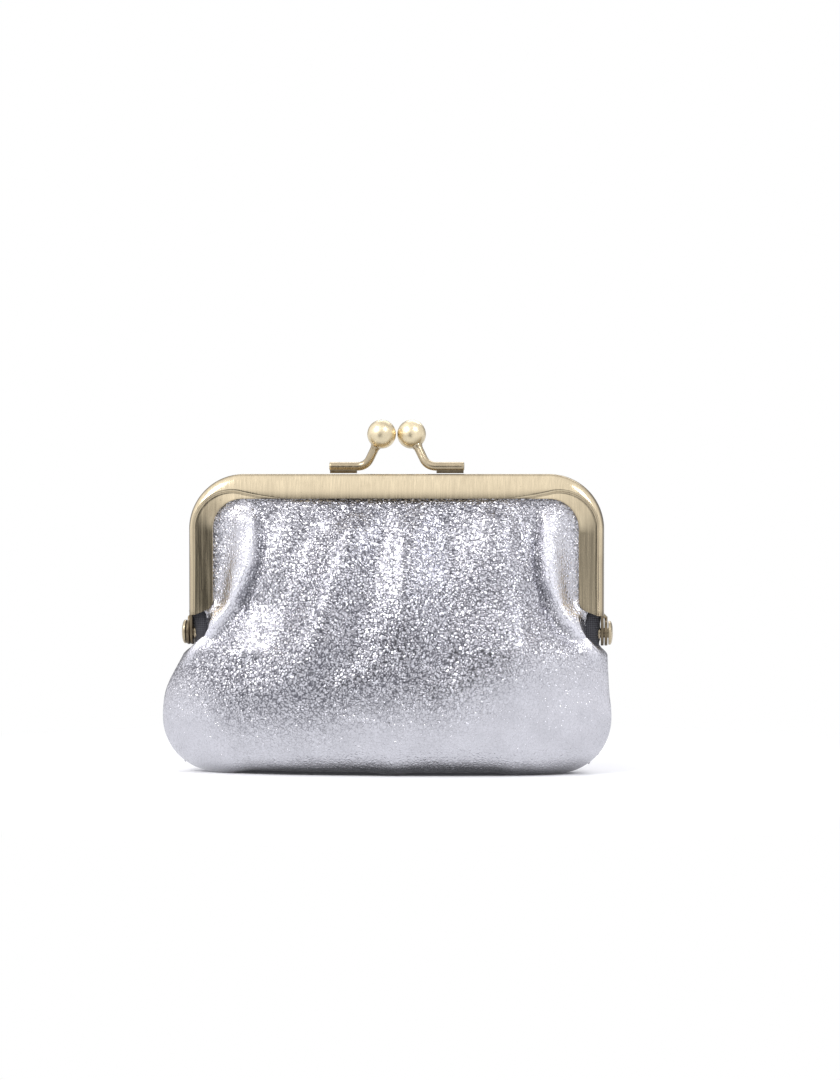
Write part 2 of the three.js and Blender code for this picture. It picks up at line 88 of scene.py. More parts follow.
class PurseFrameSizes(bpy.types.PropertyGroup):
    """Sizes of the two bent brass channels, their hinges and the clasp."""

    corner_radius: length("Corner radius", "Outside of the top corners", 13.4)
    channel_depth: length("Channel depth", "Outer edge to lip", 6)
    sheet: length("Metal thickness", "Thickness of the brass sheet", 0.7)
    edge_radius: length("Face round", "How far the rounded face falls back to the outer edge", 2.2)
    rear_edge_radius: length("Rear edge radius", "Round along the outer rear edge", 0.6)
    thickness: length("Half thickness", "Mating face to the front of the bead", 5.1)
    front_wall: length("Front wall", "Mating face to the inside of the front wall", 3.95)
    bead_rise: length("Bead rise", "How far the bead stands proud of the flat flange", 0.45)
    bead_on_leg: length("Bead on leg", "Width of the bead on the legs", 0.8)
    bead_taper_start: length("Bead taper start", "The bead is full this far to each side", 24)
    crease: length("Crease", "Width of the step from bead to flange", 0.8)
    flange_lean: length("Flange lean", "How far the lip stands proud of the flange round the corners", 0.45)
    mating_face: length("Mating face", "Half of the gap between the closed halves", 0.2)
    face_slant: length("Face slant", "Part of the bead's depth that falls as a straight slant", 0.5)
    rear_swell: length("Rear swell", "How far the rear walls swell into that gap", 0.13)
    lug_radius: length("Lug radius", "Round of the lug about the hinge axis", 3.1)
    leg_over_lug: length("Leg over lug", "The channel ends this far above the round of the lug", 1.2)
    leg_end_rise: length("Leg end rise", "How far the flange's lower end sweeps up to the lip", 3.6)
    lug_gap: length("Lug gap", "Between the two lugs, and under the rivet's head and tail", 0.2)
    rivet_radius: length("Rivet radius", "Shank of the rivet", 1.2)
    rivet_head_radius: length("Rivet head radius", "Domed head outside", 2.9)
    rivet_head: length("Rivet head", "Height of the domed head", 1.1)
    rivet_tail_radius: length("Rivet tail radius", "Flattened tail inside", 1.9)
    rivet_tail: length("Rivet tail", "Height of the flattened tail", 0.7)
    ball_radius: length("Ball radius", "Clasp ball", 3.5)
    stalk_radius: length("Stalk radius", "Rod that carries the ball", 1.05)
    stalk_bend: length("Stalk bend", "Length of rod on each side of the bend's corner", 2.3)
    foot_length: length("Foot length", "Bend's corner to the outer end of the foot", 9)
    foot_land_width: length("Foot land width", "Narrow land under the foot", 1.3)


class PurseSoftSizes(bpy.types.PropertyGroup):
    """Sizes of the leather, its folds, the lining and the cord."""

    leather: length("Leather", "Thickness of the leather", 0.9)
    lining: length("Lining", "Thickness of the lining", 0.35)
    layer_gap: length("Layer gap", "Between layers, and to the channel's walls", 0.2)
    tuck: length("Tuck", "The leather's edge lies this far in from the frame's outer edge", 1.9)
    belly_width: length("Belly width", "Widest part of the pouch", 110.8)
    belly_depth: length("Belly depth", "Deepest part of the pouch", 35)
    front_height: length("Front height", "Where the pouch is deepest", 28)
    belly_height: length("Belly height", "Where the pouch is widest", 13.4)
    base_width: length("Base width", "Part that stands on the table", 84)
    base_depth: length("Base depth", "Part that stands on the table", 20)
    rim_width: length("Rim width", "Pouch where it is deepest", 104.6)
    lean: length("Lean", "The pouch sags this far to the left of its frame", 2.5)
    fold_height: length("Fold height", "Folds that run from the top corners to the sides", 2.3)
    fold_crease: length("Fold crease", "Depth of the crease beside each fold", 0.7)
    lining_slack: length("Lining slack", "How far the lining hangs behind the leather", 1.7)
    base_lift: length("Base lift", "How far the middle of the base lifts off the table", 0.8)
    seam_gap: length("Seam gap", "Half of the gap between the front and back panels", 0.02)
    seam_groove: length("Seam groove", "Depth of the groove along the side seams", 0.7)
    bend_start: length("Bend start", "Below this height the leather stays with the pouch", 26)
    bend_end: length("Bend end", "Above this height the leather swings with its frame half", 41)


class PurseLooks(bpy.types.PropertyGroup):
    """Colours and finish of the materials."""

    brass_light: colour("Brass light", "Rubbed brass", (0.91, 0.77, 0.53))
    brass_dark: colour("Brass dark", "Antique brass in the creases", (0.12, 0.09, 0.055))
    foil_light: colour("Foil light", "Silver foil on the facets", (0.71, 0.705, 0.75))
    foil_dark: colour("Foil dark", "Foil in the creases of the grain", (0.08, 0.08, 0.10))
    lining_light: colour("Lining light", "Raised threads of the lining", (0.055, 0.055, 0.065))
    lining_dark: colour("Lining dark", "Between the threads of the lining", (0.012, 0.012, 0.016))
    paper: colour("Paper", "Twisted paper cord", (0.55, 0.43, 0.27))
    foil_relief: length("Foil relief", "Depth of the crackle", 0.27)
    foil_roughness: share("Foil roughness", "Roughness of the foil", 0.12)
    brass_roughness: share("Brass roughness", "Roughness of the brushed brass", 0.17)


class PurseStage(bpy.types.PropertyGroup):
    """Camera and light."""

    distance: length("Camera distance", "Camera to the purse", 800)
    height: length("Camera height", "Camera above the table", 73)
    yaw: FloatProperty(name="Camera yaw", description="Camera's angle to the right of the front",
                       default=math.radians(4.0), subtype="ANGLE")
    view_height: length("View height", "Height of the view at the purse", 263.4)
    view_centre: length("View centre", "Height of the view's middle above the table", 56.7)
    view_side: length("View side", "The view's middle lies this far to the right of the purse", 5.7)
    key: power("Key light", "Power of the light from the front left", 4.0)
    fill: power("Fill light", "Power of the light from the front right, and of the one behind", 2.4)


SETTINGS = {
    "purse_frame": PurseFrameSizes,
    "purse_soft": PurseSoftSizes,
    "purse_looks": PurseLooks,
    "purse_stage": PurseStage,
}


def in_millimetres(group):
    names = group.__class__.__annotations__
    return SimpleNamespace(**{name: getattr(group, name) / MM for name in names})


def box_mm(name):
    """Low and high corner of a CAD piece's box, in millimetres."""
    return [np.array(corner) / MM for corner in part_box(name)]


def sizes(context):
    """Sizes of the frame and of the soft pieces in millimetres, with the places that follow from them
    and from the CAD pieces, and then the looks."""
    f = in_millimetres(context.scene.purse_frame)
    s = in_millimetres(context.scene.purse_soft)
    _, high = box_mm("front_frame")
    f.half_width = float(high[0])
    f.top = float(high[2])
    low, high = box_mm("right_hinge_rivet")
    f.hinge = float(low[2] + high[2]) / 2
    f.straight = f.half_width - f.corner_radius
    f.leg_top = f.straight + f.corner_radius * math.pi / 2
    f.leg_end = f.hinge + f.lug_radius + f.leg_over_lug
    f.lug_depth = f.thickness - f.edge_radius * 0.6
    f.lug_step = f.sheet + f.lug_gap
    f.lip_top = f.top - f.channel_depth
    f.lip_side = f.half_width - f.channel_depth
    s.front = f.mating_face + f.front_wall - s.layer_gap
    s.top = f.top - s.tuck
    return f, s, context.scene.purse_looks


# Curves and noise


def ramp(x, start, end):
    t = np.clip((np.asarray(x, float) - start) / (end - start), 0.0, 1.0)
    return t * t * (3.0 - 2.0 * t)


def lerp(a, b, t):
    return a + (b - a) * t


def hill(x, centre, width):
    return np.exp(-(((x - centre) / width) ** 2))


def bezier(t, *points):
    while len(points) > 1:
        points = [lerp(a, b, t) for a, b in zip(points, points[1:])]
    return points[0]


def circle(sides):
    """Points of a circle of radius 1."""
    turn = np.linspace(0.0, 2 * np.pi, sides, endpoint=False)
    return np.stack([np.cos(turn), np.sin(turn)], axis=1)


def lumps(points, scale, seed):
    """Smooth noise from -1 to 1 with features about as large as scale."""
    flat = points.reshape(-1, 3) / scale + np.array([seed * 7.31, seed * 3.77, seed * 5.13])
    values = np.array([noise.noise(Vector(p)) for p in flat])
    return values.reshape(points.shape[:-1])


# Objects and meshes


def add_object(name, data):
    obj = bpy.data.objects.new(name, data)
    bpy.context.scene.collection.objects.link(obj)
    return obj


def build_mesh(name, points, faces, material, sharp, marks, uv=None):
    """Makes an object from points in millimetres. Marks are named values for each point."""
    mesh = bpy.data.meshes.new(name)
    mesh.from_pydata((points * MM).tolist(), [], [list(map(int, face)) for face in faces])
    mesh.update()
    if uv is not None:
        corners = np.empty(len(mesh.loops), dtype=np.int32)
        mesh.loops.foreach_get("vertex_index", corners)
        layer = mesh.uv_layers.new(name="UVMap")
        layer.data.foreach_set("uv", uv[corners].astype(np.float32).ravel())
    for key, values in marks.items():
        attribute = mesh.attributes.new(key, "FLOAT", "POINT")
        attribute.data.foreach_set("value", np.asarray(values, np.float32).ravel())
    mesh.shade_smooth()
    mesh.set_sharp_from_angle(angle=math.radians(sharp))
    mesh.materials.append(material)
    return add_object(name, mesh)


def grid_faces(rows, columns, closed=False):
    faces = []
    for r in range(rows - 1):
        for c in range(columns if closed else columns - 1):
            a = r * columns + c
            b = r * columns + (c + 1) % columns
            faces.append((a, b, b + columns, a + columns))
    return faces


class Parts:
    """Collects several closed bodies into one mesh."""

    def __init__(self):
        self.points, self.faces, self.marks, self.count = [], [], [], 0

    def loft(self, rings, mark=0.0):
        """Adds a body through rings of points, with one mark of tarnish and painted shade, or one for each
        point.
        """
        rings = np.asarray(rings, float)
        rows, columns = rings.shape[:2]
        size = rows * columns
        caps = [range(columns)[::-1], range(size - columns, size)]
        for face in grid_faces(rows, columns, closed=True) + caps:
            self.faces.append([self.count + k for k in face])
        self.points.append(rings.reshape(-1, 3))
        self.marks.append(np.broadcast_to(np.ravel(mark), (size,)))
        self.count += size
        return self

    def plate(self, outline, axis, start, end, edge, mark):
        """Adds an upright flat plate with softened edges, from start to end along axis 0 (X) or 1 (Y)."""
        ahead = np.roll(outline, -1, axis=0) - np.roll(outline, 1, axis=0)
        inward = np.stack([-ahead[:, 1], ahead[:, 0]], axis=1)
        inward /= np.linalg.norm(inward, axis=1, keepdims=True)
        a, b = outline.T
        area = np.sum(a * np.roll(b, -1) - b * np.roll(a, -1))
        inset = outline + inward * edge * np.sign(area)
        soft = math.copysign(edge, end - start)
        levels = ((inset, start), (outline, start + soft), (outline, end - soft), (inset, end))
        self.loft([np.insert(ring, axis, level, axis=1) for ring, level in levels], mark)

    def object(self, name, material, sharp, turn=1):
        points = np.concatenate(self.points) * np.array([turn, turn, 1.0])
        marks = {"patina_and_shade": np.concatenate(self.marks)}
        return build_mesh(name, points, self.faces, material, sharp, marks)


def lathe(profile, axis_from, axis, sides=48):
    """Rings round an axis from (distance along, radius) pairs."""
    axis = np.asarray(axis, float) / np.linalg.norm(axis)
    across = np.cross(axis, [0.0, 1.0, 0.0])
    across /= np.linalg.norm(across)
    ring = circle(sides) @ np.stack([across, np.cross(axis, across)])
    return np.array([np.asarray(axis_from) + axis * along + ring * radius for along, radius in profile])


def sweep(centres, outline, up_hint=(0.0, 1.0, 0.0)):
    """Rings of a flat outline, or of one for each ring, carried along a line of points."""
    tangents = np.gradient(centres, axis=0)
    tangents /= np.linalg.norm(tangents, axis=1, keepdims=True)
    side = np.cross(tangents, np.asarray(up_hint))
    side /= np.linalg.norm(side, axis=1, keepdims=True)
    up = np.cross(side, tangents)
    return centres[:, None] + side[:, None] * outline[..., 0:1] + up[:, None] * outline[..., 1:2]


def attach(obj, body, node):
    """Lets a rigid piece ride a body in place of its CAD node."""
    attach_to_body(obj, body)
    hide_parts(node)


# Materials


class Nodes:
    """Short ways to add and link the nodes of a material or a world."""

    def __init__(self, owner):
        owner.use_nodes = True
        self.owner, self.tree = owner, owner.node_tree
        self.tree.nodes.clear()

    def add(self, kind, inputs=None, **settings):
        """Adds a shader node of a kind, with a value or a link for each input that is given."""
        node = self.tree.nodes.new(kind)
        for key, value in settings.items():
            setattr(node, key, value)
        for key, value in (inputs or {}).items():
            self.give(node.inputs[key], value)
        return node

    def give(self, socket, value):
        if isinstance(value, bpy.types.NodeSocket):
            self.tree.links.new(value, socket)
        else:
            socket.default_value = value

    def set(self, **inputs):
        """Gives the shader's own inputs, whose names have underscores here."""
        for key, value in inputs.items():
            self.give(self.shader.inputs[key.replace("_", " ")], value)

    def math(self, operation, a, b, clamp=False):
        return self.add("ShaderNodeMath", {0: a, 1: b}, operation=operation, use_clamp=clamp).outputs[0]

    def plus(self, a, b, clamp=False):
        return self.math("ADD", a, b, clamp)

    def times(self, a, b):
        return self.math("MULTIPLY", a, b)

    def vector(self, operation, a, b=(0.0, 0.0, 0.0), output="Vector"):
        return self.add("ShaderNodeVectorMath", {0: a, 1: b}, operation=operation).outputs[output]

    def mark(self, name):
        return self.add("ShaderNodeAttribute", attribute_name=name).outputs["Fac"]

    def noise(self, vector, scale, detail=3.0, roughness=0.55, output=0):
        inputs = {"Vector": vector, "Scale": scale, "Detail": detail, "Roughness": roughness}
        return self.add("ShaderNodeTexNoise", inputs).outputs[output]

    def remap(self, value, start, end, low=0.0, high=1.0):
        """Goes smoothly from low to high as the value goes from start to end."""
        inputs = {"Value": value, "From Min": start, "From Max": end, "To Min": low, "To Max": high}
        return self.add("ShaderNodeMapRange", inputs, interpolation_type="SMOOTHSTEP").outputs[0]

    def mix(self, factor, a, b):
        node = self.add("ShaderNodeMix", {0: factor}, data_type="RGBA")
        for socket, value in ((node.inputs[6], a), (node.inputs[7], b)):
            self.give(socket, value if isinstance(value, bpy.types.NodeSocket) else (*value, 1.0))
        return node.outputs[2]

    def bump(self, height, strength, distance):
        inputs = {"Height": height, "Strength": strength, "Distance": distance}
        return self.add("ShaderNodeBump", inputs).outputs[0]


def new_material(name):
    """Nodes of a new material that has one Principled shader."""
    n = Nodes(bpy.data.materials.new(name))
    n.output = n.add("ShaderNodeOutputMaterial")
    n.shader = n.add("ShaderNodeBsdfPrincipled")
    n.give(n.output.inputs["Surface"], n.shader.outputs[0])
    return n


def scaled(values, factor):
    return tuple(v * factor for v in values)


def brass_material(name, looks, stroke, light, roughness):
    """Antique brass, darker where the mark of tarnish and painted shade is high. Light scales the colour,
    and is raised on the balls as painted light. Stroke scales its brushing on each axis.
    """
    n = new_material(name)
    where = n.add("ShaderNodeTexCoord").outputs["Object"]
    strokes = n.noise(n.vector("MULTIPLY", where, stroke), 1.0, 5.0, 0.65)
    broad = n.noise(n.vector("MULTIPLY", where, scaled(stroke, 0.22)), 1.0, 2.0)
    clouds = n.times(n.remap(n.noise(where, 190.0, 4.0, 0.6), 0.50, 0.80), 0.10)
    specks = n.times(n.remap(n.noise(where, 2100.0, 2.0, 0.5), 0.70, 0.78), 0.35)
    dark = n.plus(n.times(n.mark("patina_and_shade"), 0.85), n.plus(clouds, specks), clamp=True)
    lit = tuple(min(1.0, v * light) for v in looks.brass_light)
    rubbed = n.mix(n.remap(strokes, 0.25, 0.75), scaled(lit, 0.78), lit)
    rubbed = n.mix(n.times(n.remap(broad, 0.35, 0.7), 0.4), rubbed, scaled(lit, 0.74))
    rough = n.remap(strokes, 0.2, 0.8, roughness - 0.06, roughness + 0.08)
    height = n.plus(n.times(strokes, 0.8), n.times(broad, 0.5))
    n.set(Base_Color=n.mix(dark, rubbed, looks.brass_dark), Metallic=1.0)
    n.set(Roughness=n.plus(rough, n.times(dark, 0.18)), Normal=n.bump(height, 0.16, 0.00005))
    return n.owner


# Facets of the foil's crackle to a metre, and how far the noise bends their edges, in metres.
CRACKLE = 1360.0
CRACKLE_DRIFT = 0.0008


def foil_material(name, looks):
    """Crackled silver foil on leather: small facets, smoother near the base and on the folds."""
    n = new_material(name)
    uv = n.add("ShaderNodeUVMap").outputs[0]
    grain = n.mark("grain")
    centred = (-0.5, -0.5, -0.5)
    drift = n.vector("ADD", n.noise(uv, 800.0, 3.0, 0.6, "Color"), centred)
    bent = n.vector("ADD", uv, n.vector("MULTIPLY", drift, (CRACKLE_DRIFT, CRACKLE_DRIFT, 0.0)))
    fine = n.noise(bent, 2400.0, 3.0, 0.6)
    cells = {"Vector": bent, "Scale": CRACKLE}
    edge = n.add("ShaderNodeTexVoronoi", cells, feature="DISTANCE_TO_EDGE").outputs["Distance"]
    facets = n.add("ShaderNodeTexVoronoi", cells, feature="F1").outputs
    place = n.vector("MULTIPLY", n.vector("SUBTRACT", bent, facets["Position"]), (CRACKLE, CRACKLE, 0.0))
    lean = n.vector("DOT_PRODUCT", place, n.vector("ADD", facets["Color"], centred), "Value")
    # Each facet is a small dome that leans its own way.
    height = n.times(n.remap(edge, 0.0, 0.26), n.plus(n.times(lean, 1.5), 0.22))
    height = n.times(n.plus(height, n.times(fine, 0.1)), n.remap(grain, 0.0, 1.0, 0.6, 1.0))
    # The creases between facets are dark, uneven in width and broken in places.
    width = n.times(n.remap(fine, 0.3, 0.7, 0.08, 0.46), n.remap(grain, 0.3, 1.0, 0.4, 1.0))
    creases = n.math("SUBTRACT", 1.0, n.remap(edge, 0.0, width))
    broken = n.remap(n.noise(uv, 1100.0, 2.0, 0.5), 0.34, 0.50, 0.15, 1.0)
    creases = n.times(n.times(creases, broken), n.remap(grain, 0.0, 1.0, 0.12, 1.0))
    # The folds' creases add painted shade.
    dark = n.plus(n.times(creases, 0.95), n.times(n.mark("crease_shade"), 0.5), clamp=True)
    # Facets differ in tone, and each fold's ridge gets a painted highlight.
    light = looks.foil_light
    tone = n.add("ShaderNodeSeparateColor", {"Color": facets["Color"]}).outputs[2]
    tint = n.mix(n.remap(n.noise(uv, 120.0, 3.0, 0.5), 0.35, 0.65), light, scaled(light, 0.92))
    shade = n.times(n.remap(tone, 0.2, 0.9), n.remap(grain, 0.0, 1.0, 0.04, 0.35))
    tint = n.mix(shade, tint, scaled(light, 0.5))
    tint = n.mix(n.times(n.mark("ridge"), 0.9), tint, scaled(light, 1.32))
    rough = n.remap(fine, 0.3, 0.7, looks.foil_roughness - 0.04, looks.foil_roughness + 0.05)
    n.set(Base_Color=n.mix(dark, tint, looks.foil_dark), Metallic=0.96)
    n.set(Roughness=n.plus(rough, n.times(n.math("SUBTRACT", 1.0, grain), 0.10)))
    n.set(Normal=n.bump(height, 1.0, looks.foil_relief))
    return n.owner


def lining_material(name, looks):
    """Dark woven cloth."""
    n = new_material(name)
    uv = n.add("ShaderNodeUVMap").outputs[0]
    thread = {"Vector": uv, "Scale": 620.0, "Distortion": 0.6, "Detail": 1.0}
    warp, weft = (n.add("ShaderNodeTexWave", thread, bands_direction=way).outputs["Fac"] for way in "XY")
    weave = n.times(n.plus(warp, weft), 0.5)
    cloth = n.mix(weave, looks.lining_dark, looks.lining_light)
    n.set(Base_Color=n.mix(n.times(n.noise(uv, 160.0), 0.4), cloth, looks.lining_dark))
    n.set(Roughness=n.remap(weave, 0.0, 1.0, 0.95, 0.72), Sheen_Weight=0.25, Sheen_Roughness=0.45)
    n.set(Normal=n.bump(weave, 0.6, 0.00012))
    return n.owner


def fibre_material(name, light, dark, scale):
    """Twisted paper or thread, with long fibres."""
    n = new_material(name)
    where = n.add("ShaderNodeTexCoord").outputs["Object"]
    fibres = n.noise(where, scale, 4.0, 0.65)
    cloud = n.noise(where, scale * 0.12, 2.0)
    n.set(Base_Color=n.mix(n.remap(fibres, 0.3, 0.7), dark, light))
    n.set(Roughness=n.remap(cloud, 0.3, 0.7, 0.8, 0.98), Normal=n.bump(fibres, 0.4, 0.00008))
    return n.owner


def floor_material():
    """Pale floor that catches the shadow near the purse and runs into the white background."""
    n = new_material("stage_floor")
    n.set(Base_Color=(0.93, 0.93, 0.94, 1.0), Roughness=0.7, Specular_IOR_Level=0.1)
    where = n.add("ShaderNodeTexCoord").outputs["Object"]
    away = n.vector("LENGTH", where, output="Value")
    # For mirror rays the floor glows: a painted reflection that is bright near the purse and to the sides,
    # with a painted shadow right under it.
    near = n.vector("LENGTH", n.vector("MULTIPLY", where, (18.0, 57.0, 0.0)), output="Value")
    path = n.add("ShaderNodeLightPath").outputs
    seen = path["Is Camera Ray"]
    mirrored = n.math("MAXIMUM", path["Is Glossy Ray"], path["Is Transmission Ray"])
    aside = n.math("DIVIDE", n.add("ShaderNodeSeparateXYZ", {0: where}).outputs[0], away)
    beside = n.plus(n.remap(aside, -0.50, -0.20, 0.98, 0.05), n.remap(aside, -0.14, 0.30, 0.0, 0.93))
    painted_glow = n.math("MAXIMUM", n.remap(away, 0.09, 0.34, 1.0, 0.06), beside)
    painted_glow = n.times(painted_glow, n.remap(near, 0.70, 0.98, 0.08, 1.0))
    tint = n.mix(seen, (0.95, 0.96, 1.0), (1.0, 1.0, 1.0))
    white = n.add("ShaderNodeEmission", {"Color": tint, "Strength": n.math("MAXIMUM", painted_glow, seen)})
    far = n.times(n.remap(away, 0.05, 0.16), seen)
    white_share = n.math("MAXIMUM", far, mirrored)
    mixed = n.add("ShaderNodeMixShader", {0: white_share, 1: n.shader.outputs[0], 2: white.outputs[0]})
    n.give(n.output.inputs["Surface"], mixed.outputs[0])
    return n.owner


# Frame halves

# Round of the channel's cut edges, and the least width of the flange beside the bead.
LIP = 0.14
LEAST_FLANGE = 0.3


def face_depth(f, inwards, bead, lean):
    """Depth of a half's front face at a distance in from its outer edge."""
    reach = np.maximum(1 - inwards / bead, 0.0)
    fall = f.face_slant * reach + (f.edge_radius - f.face_slant) * (1 - np.sqrt(1 - reach ** 2))
    flange_start = bead + f.crease
    flange = max(f.channel_depth - flange_start, LEAST_FLANGE)
    up = np.clip((inwards - flange_start) / flange, 0.0, 1.0)
    return f.thickness - fall - f.bead_rise * ramp(inwards, bead, flange_start) + lean * up


def channel_section(f, bead, lean=0.0):
    """Outline of the channel as distance inwards and depth, with a mark of tarnish and painted shade for
    each point.
    """
    depth, wall, corner = f.channel_depth, f.front_wall, f.rear_edge_radius
    rows = [(depth, LIP, 0.45)]
    # The rear walls' mark of 0.6 is painted shade that tones down the key light's mirrored highlight.
    for inwards in np.linspace(depth - LIP, corner, 7)[:-1]:
        rows.append((inwards, -f.rear_swell, 0.6))
    for turn in np.linspace(0.0, math.pi / 2, 6):
        back = (corner + f.rear_swell) * (1 - math.cos(turn)) - f.rear_swell
        rows.append((corner * (1 - math.sin(turn)), back, 0.3))
    crease = float(np.clip(bead, 0.0, depth - f.crease - LEAST_FLANGE))
    across = np.concatenate([crease * (1 - np.cos(np.linspace(0.0, math.pi / 2, 22))),
                             crease + np.linspace(0.0, f.crease, 10)[1:],
                             np.linspace(crease + f.crease, depth - LIP, 8)[1:]])
    step = hill(across, bead + f.crease * 0.62, f.crease * 0.4)
    edge = ramp(across, depth - 0.5, depth - LIP)
    rim = 1 - ramp(across, 0.0, 0.7)
    rows += zip(across, face_depth(f, across, bead, lean), 0.5 * step + 0.3 * edge + 0.8 * rim)
    rows += [
        (depth, face_depth(f, depth, bead, lean) - LIP, 0.2),
        (depth, wall + LIP, 0.6),
        (depth - LIP, wall, 0.9),
        (f.edge_radius * 0.9, wall, 0.9),
        (f.sheet, f.thickness - f.edge_radius, 0.9),
        (f.sheet, f.sheet, 0.9),
        (depth - LIP, f.sheet, 0.8),
        (depth, f.sheet - LIP, 0.4),
    ]
    rows = np.array(rows, float)
    return rows[:, :2], rows[:, 2]


def section_along(f, along):
    """The channel's section at a distance along its outer edge from the middle of the crown."""
    bead = lerp(f.channel_depth, f.bead_on_leg, ramp(along, f.bead_taper_start, f.leg_top))
    lean = f.flange_lean * ramp(along, f.straight - 7.0, f.straight + 5.0)
    lean *= 1 - ramp(along, f.leg_top - 8.0, f.leg_top + 2.0)
    return channel_section(f, float(bead), float(lean))


def leg_bottom(f, inwards):
    """Lower end of a leg: an S that sweeps up from the outer wall to the lip."""
    t = np.linspace(0.0, 1.0, 60)
    wall, lip, low = f.sheet, f.channel_depth, f.leg_end
    x = bezier(t, wall, lerp(wall, lip, 0.06), lerp(wall, lip, 0.96), lip)
    z = bezier(t, low - f.leg_over_lug, low + f.leg_over_lug, low, low + f.leg_end_rise)
    return np.maximum(np.interp(inwards, x, z), low)


def frame_rings(f):
    """Rings of the channel from the left leg's end over the crown to the right leg's end."""
    corner_height = f.top - f.corner_radius
    half, marks = [], []

    def put(x, depth, z, mark):
        half.append(np.stack(np.broadcast_arrays(x, -f.mating_face - depth, z), axis=1))
        marks.append(mark)

    for x in np.linspace(0.0, f.straight, 56):
        p, m = section_along(f, x)
        put(x, p[:, 1], f.top - p[:, 0], m)
    for turn in np.linspace(0.0, math.pi / 2, 50)[1:]:
        p, m = section_along(f, f.straight + turn * f.corner_radius)
        reach = f.corner_radius - p[:, 0]
        put(f.straight + reach * math.sin(turn), p[:, 1], corner_height + reach * math.cos(turn), m)
    p, m = channel_section(f, f.bead_on_leg)
    bottom = leg_bottom(f, p[:, 0])
    bead = (p[:, 0] < f.bead_on_leg) & (p[:, 1] > f.thickness - f.edge_radius - 0.01)
    for t in np.linspace(0.0, 1.0, 40)[1:]:
        # The mark rises toward the leg's end at the lug, and on the bead from the leg's middle down.
        leg_darkening = np.clip(m + 0.35 * ramp(t, 0.93, 1.0) + 0.3 * ramp(t, 0.0, 0.5) * bead, 0.0, 1.0)
        put(f.half_width - p[:, 0], p[:, 1], lerp(corner_height, bottom, t), leg_darkening)
    half, marks = np.array(half), np.array(marks)
    left = half[:0:-1] * np.array([-1.0, 1.0, 1.0])
    return np.concatenate([left, half]), np.concatenate([marks[:0:-1], marks])


def lug_outline(f, top):
    """Outline of a lug from the side, as depth and height."""
    t = np.linspace(0.0, 1.0, 12)
    y = bezier(t, -f.mating_face - f.lug_depth, -f.lug_radius, -f.lug_radius)
    z = bezier(t, top, f.hinge + f.lug_radius, f.hinge)
    turn = np.linspace(math.pi, 2.5 * math.pi, 40)[1:]
    return np.array([(-f.mating_face, top), *zip(y, z),
                     *zip(f.lug_radius * np.cos(turn), f.hinge + f.lug_radius * np.sin(turn))])


# The lugs and the joggles above them lie this far inside the leg's faces, so that none share a plane.
LUG_SINK = 0.03
JOGGLE_SINK = 0.06


def add_lugs(f, parts, step):
    """Adds a half's two lugs. With a step they stand out from the legs, each on a joggle."""
    joint = f.leg_end + f.leg_over_lug
    low = f.leg_end - step
    outline = lug_outline(f, low + f.sheet / 2 if step else joint)
    outer, rear = f.half_width + step - LUG_SINK, -f.mating_face - LUG_SINK
    wall = f.half_width - JOGGLE_SINK
    out = wall + step
    joggle = np.array([
        (wall - f.sheet, joint), (wall, joint), (wall, f.leg_end + f.sheet / 2),
        (out, low + f.sheet / 2), (out, low - f.sheet), (out - f.sheet, low - f.sheet),
        (out - f.sheet, low), (wall - f.sheet, f.leg_end),
    ])
    for side in (1, -1):
        parts.plate(outline, 0, side * (outer - f.sheet), side * outer, edge=0.12, mark=1.0)
        if step:
            parts.plate(joggle * (side, 1), 1, rear, rear - f.lug_depth, edge=0.08, mark=0.3)


class PURSE_OT_frame_halves(bpy.types.Operator):
    """Builds the two brushed brass frame halves with their beads, flanges and hinge lugs"""

    bl_idname = "purse.frame_halves"
    bl_label = "Frame halves"

    def execute(self, context):
        f, _, looks = sizes(context)
        brass = brass_material("brushed_brass", looks, (2600.0, 700.0, 70.0), 1.0, looks.brass_roughness)
        for half, turn in HALVES.items():
            parts = Parts().loft(*frame_rings(f))
            add_lugs(f, parts, f.lug_step if half == "back" else 0.0)
            obj = parts.object(f"{half}_frame_brass", brass, 40.0, turn)
            attach(obj, f"{half}_half", f"{half}_frame")
        return {"FINISHED"}


# Clasp and rivets

# Narrow land that carries the stalk's foot: its height above the crown, and its own height.
LAND_LIFT = 0.2
LAND_HEIGHT = 0.6


def clasp_points(f):
    """Ball centre, bend corner and the direction up the stalk, for the front half."""
    ball = sum(box_mm("front_clasp_ball")) / 2
    low, high = box_mm("front_clasp_stalk")
    corner = np.array([high[0] - f.foot_length, low[1] + f.stalk_radius,
                       f.top + LAND_LIFT + LAND_HEIGHT + f.stalk_radius])
    up = ball - corner
    return ball, corner, up / np.linalg.norm(up)


def stalk_parts(f):
    ball, corner, up = clasp_points(f)
    out = np.array([1.0, 0.0, 0.0])
    end = corner + out * f.foot_length
    first, last = corner + out * f.stalk_bend, corner + up * f.stalk_bend
    bend = bezier(np.linspace(0.0, 1.0, 28)[:, None], first, corner, last)
    foot = np.linspace(end - out * 0.2, first, 14)[:-1]
    neck = np.linspace(last, ball - up * (f.ball_radius - 0.6), 12)[1:]
    centres = np.concatenate([[end, end - out * 0.06], foot, bend, neck])
    from_ball = np.linalg.norm(centres - ball, axis=1) - f.ball_radius
    widths = 1 + 0.22 * (1 - ramp(from_ball, -0.1, 0.7))
    # The free end of the foot is rounded off.
    widths[:2] *= (0.82, 0.95)
    parts = Parts().loft(sweep(centres, circle(32) * f.stalk_radius * widths[:, None, None]), 0.5)
    bottom, top = f.top + LAND_LIFT, corner[2] - f.stalk_radius * 0.5
    right = end[0] - 0.15
    land = np.array([(first[0], bottom), (right, bottom), (right, top), (first[0], top)])
    half = f.foot_land_width / 2
    # The land's full mark makes it dark: a painted shadow under the foot.
    parts.plate(land, 1, corner[1] - half, corner[1] + half, edge=0.08, mark=1.0)
    return parts


